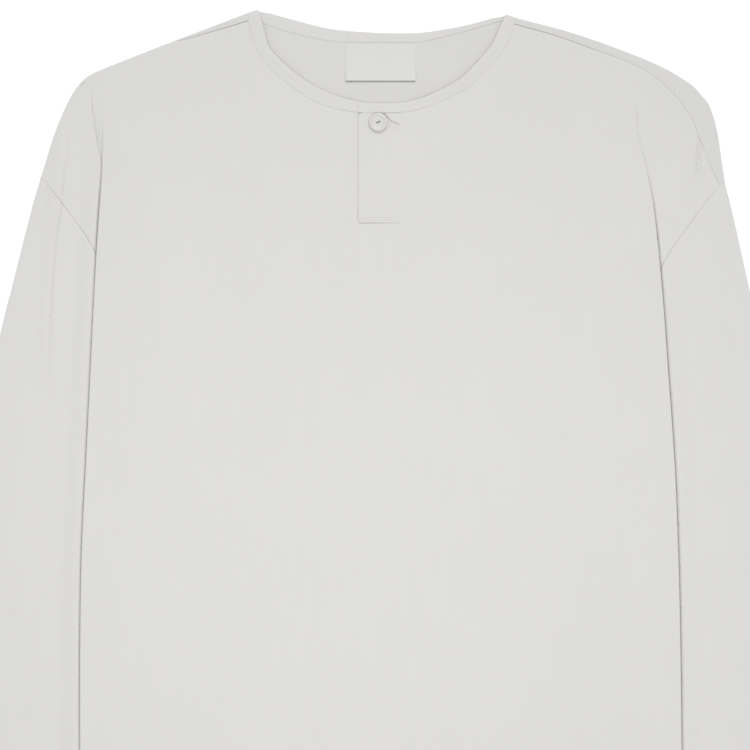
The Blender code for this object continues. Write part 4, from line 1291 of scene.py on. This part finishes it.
def with_more(sections, places, at_front):
    """The neckband's sections with more of them where the band passes the places' x."""
    middle = sections.mean(axis=1)
    own = np.flatnonzero((middle[:, 1] < BACK_STRETCH_Y) == at_front)
    x = middle[own, 0]
    step = next(
        index for index in range(len(own) - 1)
        if (x[index] - places[0]) * (x[index + 1] - places[0]) <= 0
        and abs(x[index] - x[index + 1]) < BAND_STEP
    )
    last = next(
        index for index in range(step, len(own))
        if (x[index] - places[-1]) * (x[step] - places[-1]) < 0
    )
    before, after = own[step], own[last]
    span = middle[before : after + 1, 0]
    order = np.argsort(span)
    flat = sections[before : after + 1].reshape(len(span), -1)[order]
    extra = np.stack([np.interp(places, span[order], values) for values in flat.T], axis=-1)
    return np.concatenate([sections[: before + 1], extra.reshape(-1, 2, 3), sections[after:]])


def band_piece(cloth):
    """The neckband, a padded strip: a closed flat tube round its own middle."""
    joins = [BAND_JOIN_X + step for step in BAND_JOIN_STEPS]
    sections = with_more(band_sections(), joins, at_front=False)
    sections = with_more(sections, RIDGE_LINES[::-1], at_front=True)
    sections[..., 2] += ridge(sections[..., 0]) * (sections[..., 1] < BACK_STRETCH_Y)
    seam, edge = sections[:, 0], sections[:, 1]
    middle = (seam + edge) / 2
    normal = np.cross(np.gradient(middle, axis=0), edge - seam)
    normal /= np.linalg.norm(normal, axis=1, keepdims=True)
    at_join = bump((middle[:, 0] - BAND_JOIN_X) / BAND_JOIN_WIDTH) * (middle[:, 1] > NECK_BACK_Y)
    thick = BAND_WALL / 2 * (1 - BAND_JOIN_DIP * at_join)
    shares = np.concatenate([BAND_SHARES, BAND_SHARES[-2::-1], [0]])
    heights = np.concatenate([BAND_HALVES, -BAND_HALVES[-2::-1], BAND_HALVES[:1]])
    ring = (
        seam[:, None]
        + (edge - seam)[:, None] * shares[None, :, None]
        + normal[:, None] * (thick[:, None] * heights[None])[..., None]
    )
    lengths = np.broadcast_to(lengths_of(middle)[:, None], ring.shape[:2])
    width = np.linalg.norm(edge - seam, axis=1)
    mesh = cloth_mesh([ring], [np.stack([width[:, None] * shares[None], lengths], axis=-1)])
    bmesh.ops.holes_fill(mesh, edges=[edge for edge in mesh.edges if edge.is_boundary], sides=0)
    bmesh.ops.recalc_face_normals(mesh, faces=mesh.faces)
    material = jersey("jersey_band", cloth.wale, cloth.colour)
    return applied(new_piece("neckband_cloth", mesh, material, "neckband"))


def neck_seam_y(x):
    line = np.vstack([curve(LEFT.neck_front), curve(RIGHT.neck_front)[::-1]])
    return np.interp(x, line[:, 0], line[:, 1])


def strip(x, height):
    """Rows of a placket strip, from the neck seam to the slit's foot."""
    x = np.asarray(x, float)
    gap = 2 * SEAM_GAP + TICK_GAP * (1 - smooth((x - SLIT_LEFT) / TICK_WIDTH))
    top = np.stack([x, neck_seam_y(x) - gap], axis=-1)
    foot = np.stack([x, np.full(len(x), SLIT_FOOT + FOOT_GAP)], axis=-1)
    return np.array([raised(top + (foot - top) * share, height) for share in PLACKET_ROWS])


def placket_lift(x):
    """How far the placket's upper strip lies above the front's cloth."""
    return LAP_LIFT * (1 - smooth((x - LIFT_SLOPE_START) / (SLIT_RIGHT - LIFT_SLOPE_START)))


def buttonhole_lift(plan):
    """The buttonhole's slot, and the lip that the button pushes up below it."""
    line = curve(BUTTONHOLE, 8)
    flat = plan.reshape(-1, 2)
    offset = flat[:, None] - line
    distance = np.linalg.norm(offset, axis=-1)
    nearest = distance.argmin(axis=1)
    run = np.gradient(line, axis=0)[nearest]
    gap = offset[np.arange(len(flat)), nearest]
    above = run[:, 0] * gap[:, 1] - run[:, 1] * gap[:, 0] > 0
    distance = distance.min(axis=1)
    x = flat[:, 0]
    end = smooth((SLOT_END - x) / SLOT_END_FADE)
    slot = -SLOT_DEPTH * bump(distance / SLOT_WIDTH) * smooth((x - SLOT_START) / SLOT_FADE)
    beyond = bump((distance - LIP_WIDTH) / LIP_REACH)
    rise = np.where(distance < LIP_WIDTH, smooth(distance / LIP_WIDTH), beyond)
    lip = np.where(above, 0.0, LIP_HEIGHT * rise) * smooth((x - LIP_START) / SLOT_FADE)
    return ((slot + lip) * end).reshape(plan.shape[:-1])


def placket_pieces(cloth):
    material = jersey("jersey_placket", cloth.wale, cloth.colour)
    under_x = np.linspace(SLIT_LEFT + SEAM_GAP, UNDER_EDGE, 12)
    drop = UNDER_DROP * smooth((under_x - SLIT_LEFT) / UNDER_SLOPE)
    left_edge = [SLIT_LEFT + step for step in (-LAP, 0.35 - LAP, 0.4, 1.2)]
    upper_x = np.concatenate([
        left_edge, np.linspace(SLIT_LEFT + 3, 0, 14)[:-1], np.linspace(0, SLIT_RIGHT, 36),
    ])
    lift = placket_lift(upper_x)
    upper = strip(upper_x, SECOND + lift)
    at_foot = smooth(1 - (upper[..., 1] - SLIT_FOOT) / FOOT_FADE)
    upper[..., 2] += buttonhole_lift(upper[..., :2]) - (FOOT_SHARE * lift - FOOT_RISE) * at_foot
    strips = {"placket_under": strip(under_x, SECOND - drop), "placket_upper": upper}
    return [
        add_wall(new_piece(node + "_cloth", cloth_mesh([points]), material, node), cloth.wall)
        for node, points in strips.items()
    ]


def label_piece(trims):
    """A woven label, sewn along its top edge and lifting a little at its foot."""
    left, right = LABEL_X - LABEL_WIDTH / 2, LABEL_X + LABEL_WIDTH / 2
    top, foot = LABEL_Y + LABEL_HEIGHT / 2, LABEL_Y - LABEL_HEIGHT / 2
    columns, rows = LABEL_GRID
    x, y = np.meshgrid(np.linspace(left, right, columns), np.linspace(top, foot, rows))
    plan = np.stack([x, y], axis=-1)
    down = (top - y) / LABEL_HEIGHT
    wave = LABEL_WAVE * np.sin((x - left) / LABEL_WIDTH * 5 + 1)
    height = FLOOR + WALL / 2 + LABEL_GAP + (LABEL_LIFT * down**6 + wave * down)
    mesh = cloth_mesh([raised(plan, height + crease_lift(plan, BACK_CREASES))])
    # the tape carries a painted shadow along the label's foot
    tape = woven_tape("satin_tape_with_painted_shadow", trims.label, trims.label_foot_shadow)
    piece = new_piece("label_woven", mesh, tape, "label")
    return add_wall(piece, TAPE_WALL * MM, TAPE_ROUND * MM)


def button_place(x, y, z):
    """A point of the button, from its own middle and its underside."""
    bottom = SECOND + LAP_LIFT + WALL / 2 + BUTTON_GAP
    tilt = Matrix.Rotation(BUTTON_TILT, 3, Vector((-1, 1, 0)))
    turn = tilt @ Matrix.Rotation(BUTTON_TURN, 3, "Z") @ Vector((x, y, z))
    return (turn + Vector((BUTTON_X, BUTTON_Y, bottom))) * MM


def button_piece(trims):
    """A turned disc with a raised rim, a sunk middle and two holes."""
    mesh = bmesh.new()
    line = [mesh.verts.new((radius * MM, 0, height * MM)) for radius, height in BUTTON_PROFILE]
    edges = [mesh.edges.new(pair) for pair in zip(line, line[1:])]
    bmesh.ops.spin(
        mesh, geom=line + edges, cent=(0, 0, 0), axis=(0, 0, 1), angle=2 * math.pi,
        steps=BUTTON_STEPS, use_merge=True,
    )
    bmesh.ops.remove_doubles(mesh, verts=mesh.verts, dist=0.001 * MM)
    bmesh.ops.recalc_face_normals(mesh, faces=mesh.faces)
    bmesh.ops.transform(mesh, matrix=Matrix.Translation(button_place(0, 0, 0)), verts=mesh.verts)
    piece = new_piece("button_turned", mesh, resin("button_resin", trims.button), "button")
    holes = bmesh.new()
    for hand in (-1, 1):
        bmesh.ops.create_cone(
            holes, cap_ends=True, segments=HOLE_STEPS, radius1=HOLE_RADIUS * MM,
            radius2=HOLE_RADIUS * MM, depth=8 * MM,
            matrix=Matrix.Translation(button_place(hand * HOLE_SPACING / 2, 0, 1)),
        )
    tool = mesh_object("holes", holes)
    boolean = piece.modifiers.new("holes", "BOOLEAN")
    boolean.operation, boolean.solver, boolean.object = "DIFFERENCE", "EXACT", tool
    applied(piece)
    bpy.data.objects.remove(tool)
    return piece


# ---------------------------------------------------------------- sewing


def add_stitch(mesh, start, end, width, up=(0, 0, 1), segments=6):
    """One stitch: a small rounded bar from start to end."""
    start, end = Vector(start), Vector(end)
    forward = (end - start).normalized()
    side = Vector(up).cross(forward).normalized()
    turn = Matrix((side, forward.cross(side), forward)).transposed().to_4x4()
    size = Matrix.Diagonal((width, width * STITCH_FLATNESS, (end - start).length, 1))
    place = Matrix.Translation((start + end) / 2) @ turn @ size
    bmesh.ops.create_uvsphere(mesh, u_segments=segments, v_segments=5, radius=0.5, matrix=place)


def surface_of(name):
    """A function that finds a finished piece's outer point and normal at a place in millimetres."""
    tree = BVHTree.FromObject(bpy.data.objects[name], bpy.context.evaluated_depsgraph_get())

    def at(x, y, above=True):
        start, run = (0.03, -1) if above else (-0.01, 1)
        return tree.ray_cast(Vector((x * MM, y * MM, start)), Vector((0, 0, run)))[:2]

    return at


def sewn_row(mesh, surface, line, above, stitch, gap, width, sink):
    """A row of stitches along a line of plan points in millimetres, sunk into the cloth."""
    total = lengths_of(line)[-1]
    for start in np.arange(int(total // (stitch + gap))) * (stitch + gap):
        (first, normal), (second, other) = [
            surface(*point, above) for point in along(line, [start / total, (start + stitch) / total])
        ]
        if first is None or second is None:
            continue
        normal = (normal + other).normalized()
        if abs(normal.z) < STITCH_SLOPE or (first - second).length > STITCH_STRETCH * stitch * MM:
            continue
        outer = normal if (normal.z > 0) == above else -normal
        move = outer * width * (0.5 - sink)
        add_stitch(mesh, first + move, second + move, width, outer)


def hem_line(distance, inset):
    """A line across the body this far above its hem."""
    y = HEM_Y + distance
    ends = [at_heights(curve(side.fold), [y])[0, 0] - side.outward * inset for side in (LEFT, RIGHT)]
    return np.array([(x, y) for x in np.linspace(*ends, 60)])


def cuff_line(side, distance, inset):
    """A line across a sleeve this far above its cuff's edge."""
    ends = []
    for line in (curve(side.sleeve_outer), curve(side.sleeve_inner)):
        ends.append(along(line, [1 - distance / lengths_of(line)[-1]])[0])
    run = (ends[1] - ends[0]) / np.linalg.norm(ends[1] - ends[0])
    return np.linspace(ends[0] + run * inset, ends[1] - run * inset, 20)


def stitch_pieces(sewing):
    """The twin rows of stitches at the hem and the cuffs, and the finer ones on the placket."""
    thread = spun_thread("sewing_thread", sewing.colour)
    placket_ends = SLIT_LEFT + 1.5, SLIT_RIGHT - 0.5
    # for each name: the pieces' names, the lines on them and whether they're seen from above
    rows = {
        "hem_stitches": [
            (name, hem_line(distance, inset), above)
            for name, inset, above in (("front_cloth", 2.0, True), ("back_cloth", 5.0, False))
            for distance in HEM_ROWS
        ],
        "cuff_stitches": [
            (f"sleeve_{side.name}_cloth", cuff_line(side, distance, 2.0), above)
            for side in (LEFT, RIGHT) for distance in HEM_ROWS for above in (True, False)
        ],
        "placket_stitches": [
            ("placket_upper_cloth", np.array([(x, SLIT_FOOT + row) for x in placket_ends]), True)
            for row in PLACKET_STITCH_ROWS
        ],
    }
    length, width = sewing.stitch / MM, sewing.thread
    coarse = length, HEM_STITCH_GAP, width, HEM_STITCH_SINK
    fine = length * FINE_LENGTH, FINE_GAP, width * FINE_WIDTH, FINE_SINK
    for name, lines in rows.items():
        mesh = bmesh.new()
        for piece, line, above in lines:
            sewn_row(mesh, surface_of(piece), line, above, *(fine if "placket" in name else coarse))
        new_piece(name, mesh, thread)


def buttonhole_piece(sewing):
    """The buttonhole's satin stitches, side by side along its slit where it is free of the button."""
    mesh = bmesh.new()
    surface = surface_of("placket_upper_cloth")
    line = curve(BUTTONHOLE, 8)
    line = along(line[line[:, 0] > SATIN_START], np.linspace(0, 1, BUTTONHOLE_STITCHES))
    near, far = [moved_in(LEFT, line, -distance) for distance in SATIN_REACH]
    for places in zip(near, far):
        points = [surface(*place)[0] for place in places]
        if None not in points:
            ends = [point + Vector((0, 0, SATIN_LIFT * MM)) for point in points]
            add_stitch(mesh, *ends, SATIN_WIDTH * MM)
    thread = spun_thread("buttonhole_thread", sewing.colour)
    return new_piece("buttonhole_stitches", mesh, thread)


def button_thread_piece(sewing):
    """Four strands that hold the button, over its middle and down both holes."""
    mesh = bmesh.new()
    hole, floor = HOLE_SPACING / 2, BUTTON_THICK - BUTTON_WELL
    for strand in range(4):
        y = (strand - 1.5) * STRAND_SPACING
        over = [button_place(-hole - 0.1, y * 0.8, floor + 0.12), button_place(hole + 0.1, y, floor + 0.12)]
        add_stitch(mesh, *over, STRAND_OVER * MM, segments=8)
        for x in (-hole, hole):
            down = [button_place(x, y * 0.8, floor + 0.3), button_place(x, y * 0.5, -0.4)]
            add_stitch(mesh, *down, STRAND_DOWN * MM, up=(1, 0, 0), segments=8)
    thread = spun_thread("button_thread", sewing.button_colour)
    return new_piece("button_thread", mesh, thread)


# ---------------------------------------------------------------- stage


def floor_piece(stage):
    mesh = bmesh.new()
    bmesh.ops.create_grid(mesh, x_segments=8, y_segments=8, size=FLOOR_SIZE)
    bmesh.ops.translate(mesh, vec=(0, 0, -FLOOR_DROP * MM), verts=mesh.verts)
    mesh_object("floor", mesh, paper_sweep("background_paper", stage.paper, stage.glow))


def add_light(name, kind, place, aim=(0, 0, 0), **settings):
    """A light at a place in metres that shines towards another."""
    data = bpy.data.lights.new(name, kind)
    for key, value in settings.items():
        setattr(data, key, value)
    made = placed(name, data, place)
    made.rotation_mode = "QUATERNION"
    made.rotation_quaternion = (Vector(aim) - Vector(place)).to_track_quat("-Z", "Y")
    return made


def add_camera():
    data = bpy.data.cameras.new("camera")
    data.lens, data.sensor_width, data.clip_start, data.clip_end = LENS, SENSOR, 0.05, 20
    distance = VIEW_SIDE * MM * LENS / SENSOR
    place = (CAMERA_MIDDLE[0] * MM, CAMERA_MIDDLE[1] * MM, distance + SECOND * MM)
    bpy.context.scene.camera = placed("camera", data, place)


def sky(strength):
    world = bpy.data.worlds.new("studio")
    world.use_nodes = True
    background = world.node_tree.nodes["Background"]
    background.inputs["Color"].default_value = (1, 1, 1, 1)
    background.inputs["Strength"].default_value = strength
    bpy.context.scene.world = world


# ---------------------------------------------------------------- add-on


COLOUR = {"subtype": "COLOR", "size": 3, "min": 0, "max": 1}
LENGTH = {"unit": "LENGTH", "precision": 4}


class ClothSettings(bpy.types.PropertyGroup):
    wall: bpy.props.FloatProperty(
        name="Wall", description="Thickness of the jersey", default=WALL * MM,
        min=0.0003, max=0.0012, **LENGTH,
    )
    wale: bpy.props.FloatProperty(
        name="Wale spacing", description="Distance between the knit's wales as drawn", default=0.002,
        min=0.0005, max=0.004, **LENGTH,
    )
    colour: bpy.props.FloatVectorProperty(
        name="Colour", description="Colour of the jersey", default=linear("#DEDDDB"), **COLOUR,
    )
    # a shade darker than the face: partly the duller reverse of the knit, partly painted shade for the inside
    # of the back under the front
    reverse: bpy.props.FloatVectorProperty(
        name="Reverse", description="Colour of the jersey's inner side", default=linear("#DCDBD9"), **COLOUR,
    )


class SewingSettings(bpy.types.PropertyGroup):
    thread: bpy.props.FloatProperty(
        name="Thread", description="Width of a stitch", default=0.0006, min=0.0002, max=0.001, **LENGTH,
    )
    stitch: bpy.props.FloatProperty(
        name="Stitch", description="Length of a stitch at the hems", default=0.0032,
        min=0.002, max=0.005, **LENGTH,
    )
    colour: bpy.props.FloatVectorProperty(
        name="Thread colour", description="Colour of the sewing thread", default=linear("#DCDAD6"), **COLOUR,
    )
    button_colour: bpy.props.FloatVectorProperty(
        name="Button thread colour", description="Colour of the thread that holds the button",
        default=linear("#B2B0AC"), **COLOUR,
    )


class TrimSettings(bpy.types.PropertyGroup):
    button: bpy.props.FloatVectorProperty(
        name="Button", description="Colour of the button", default=linear("#DDDCDA"), **COLOUR,
    )
    label: bpy.props.FloatVectorProperty(
        name="Label", description="Colour of the label", default=linear("#DFDFDD"), **COLOUR,
    )
    # painted shadow: the dark colour of the band along the label's foot, standing in for the shadow under it
    label_foot_shadow: bpy.props.FloatVectorProperty(
        name="Label line", description="Colour of the line along the label's foot",
        default=linear("#565553"), **COLOUR,
    )


class StageSettings(bpy.types.PropertyGroup):
    paper: bpy.props.FloatVectorProperty(
        name="Paper", description="Colour of the background paper", default=linear("#FCFCFC"), **COLOUR,
    )
    glow: bpy.props.FloatProperty(
        name="Glow", description="Extra light of the paper, as of a lit table", default=0.2, min=0, max=1,
    )
    sky: bpy.props.FloatProperty(
        name="Sky", description="Strength of the even light", default=0.615, min=0, max=3,
    )
    side: bpy.props.FloatProperty(
        name="Side", description="Strength of the light from the side", default=0.82, min=0, max=10,
    )
    overhead: bpy.props.FloatProperty(
        name="Overhead", description="Power of the softbox above", default=1.5, min=0, max=100,
        subtype="POWER",
    )


class SHIRT_OT_front(bpy.types.Operator):
    """Makes the front with its folds, slit and hem"""

    bl_idname = "shirt.front"
    bl_label = "Front"

    def execute(self, context):
        piece = front_piece(context.scene.shirt_cloth)
        return {"FINISHED"}


class SHIRT_OT_back(bpy.types.Operator):
    """Makes the back, which wraps forward over the shoulders"""

    bl_idname = "shirt.back"
    bl_label = "Back"

    def execute(self, context):
        piece = back_piece(context.scene.shirt_cloth)
        return {"FINISHED"}


class SHIRT_OT_sleeves(bpy.types.Operator):
    """Makes both sleeves, flattened tubes with rolled cuffs"""

    bl_idname = "shirt.sleeves"
    bl_label = "Sleeves"

    def execute(self, context):
        for side in (LEFT, RIGHT):
            piece = sleeve_piece(side, context.scene.shirt_cloth)
        return {"FINISHED"}


class SHIRT_OT_neckband(bpy.types.Operator):
    """Makes the padded neckband"""

    bl_idname = "shirt.neckband"
    bl_label = "Neckband"

    def execute(self, context):
        piece = band_piece(context.scene.shirt_cloth)
        return {"FINISHED"}


class SHIRT_OT_placket(bpy.types.Operator):
    """Makes the placket's two strips"""

    bl_idname = "shirt.placket"
    bl_label = "Placket"

    def execute(self, context):
        under, upper = placket_pieces(context.scene.shirt_cloth)
        return {"FINISHED"}


class SHIRT_OT_label(bpy.types.Operator):
    """Makes the plain woven label"""

    bl_idname = "shirt.label"
    bl_label = "Label"

    def execute(self, context):
        piece = label_piece(context.scene.shirt_trims)
        return {"FINISHED"}


class SHIRT_OT_button(bpy.types.Operator):
    """Makes the button and the thread that holds it"""

    bl_idname = "shirt.button"
    bl_label = "Button"

    def execute(self, context):
        button_piece(context.scene.shirt_trims)
        button_thread_piece(context.scene.shirt_sewing)
        return {"FINISHED"}


class SHIRT_OT_sewing(bpy.types.Operator):
    """Lays the stitches of the hem, cuffs, placket and buttonhole on the cloth"""

    bl_idname = "shirt.sewing"
    bl_label = "Sewing"

    def execute(self, context):
        context.view_layer.update()
        stitch_pieces(context.scene.shirt_sewing)
        buttonhole_piece(context.scene.shirt_sewing)
        return {"FINISHED"}


class SHIRT_OT_stage(bpy.types.Operator):
    """Makes the floor, the lights and the camera"""

    bl_idname = "shirt.stage"
    bl_label = "Stage"

    def execute(self, context):
        stage = context.scene.shirt_stage
        floor_piece(stage)
        sky(stage.sky)
        softbox = add_light(
            "overhead softbox", "AREA", SOFTBOX_PLACE, SOFTBOX_AIM, shape="SQUARE", size=SOFTBOX_SIZE,
            energy=stage.overhead,
        )
        softbox.visible_camera = False
        add_light("window light", "SUN", WINDOW_PLACE, energy=stage.side, angle=WINDOW_ANGLE)
        add_camera()
        context.scene.view_settings.view_transform = "Standard"
        return {"FINISHED"}


class SHIRT_PT_panel(bpy.types.Panel):
    """The shirt's settings, and its operators in the order they are used"""

    bl_idname = "SHIRT_PT_panel"
    bl_label = "Henley shirt"
    bl_space_type = "VIEW_3D"
    bl_region_type = "UI"
    bl_category = "Shirt"

    def draw(self, context):
        for name in SETTINGS:
            box = self.layout.box()
            group = getattr(context.scene, name)
            for key in group.bl_rna.properties.keys():
                if key not in {"rna_type", "name"}:
                    box.prop(group, key)
        for operator in OPERATORS:
            self.layout.operator(operator.bl_idname)


OPERATORS = (
    SHIRT_OT_back, SHIRT_OT_sleeves, SHIRT_OT_front, SHIRT_OT_neckband, SHIRT_OT_placket, SHIRT_OT_label,
    SHIRT_OT_button, SHIRT_OT_sewing, SHIRT_OT_stage,
)
SETTINGS = {
    "shirt_cloth": ClothSettings,
    "shirt_sewing": SewingSettings,
    "shirt_trims": TrimSettings,
    "shirt_stage": StageSettings,
}


def register():
    for group in SETTINGS.values():
        bpy.utils.register_class(group)
    for name, group in SETTINGS.items():
        setattr(bpy.types.Scene, name, bpy.props.PointerProperty(type=group))
    for operator in OPERATORS:
        bpy.utils.register_class(operator)
    bpy.utils.register_class(SHIRT_PT_panel)


def unregister():
    bpy.utils.unregister_class(SHIRT_PT_panel)
    for operator in reversed(OPERATORS):
        bpy.utils.unregister_class(operator)
    for name, group in SETTINGS.items():
        delattr(bpy.types.Scene, name)
        bpy.utils.unregister_class(group)


def main():
    register()
    bpy.ops.shirt.back()
    bpy.ops.shirt.sleeves()
    bpy.ops.shirt.front()
    bpy.ops.shirt.neckband()
    bpy.ops.shirt.placket()
    bpy.ops.shirt.label()
    bpy.ops.shirt.button()
    bpy.ops.shirt.sewing()
    bpy.ops.shirt.stage()
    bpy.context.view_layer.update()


if __name__ == "__main__":
    main()
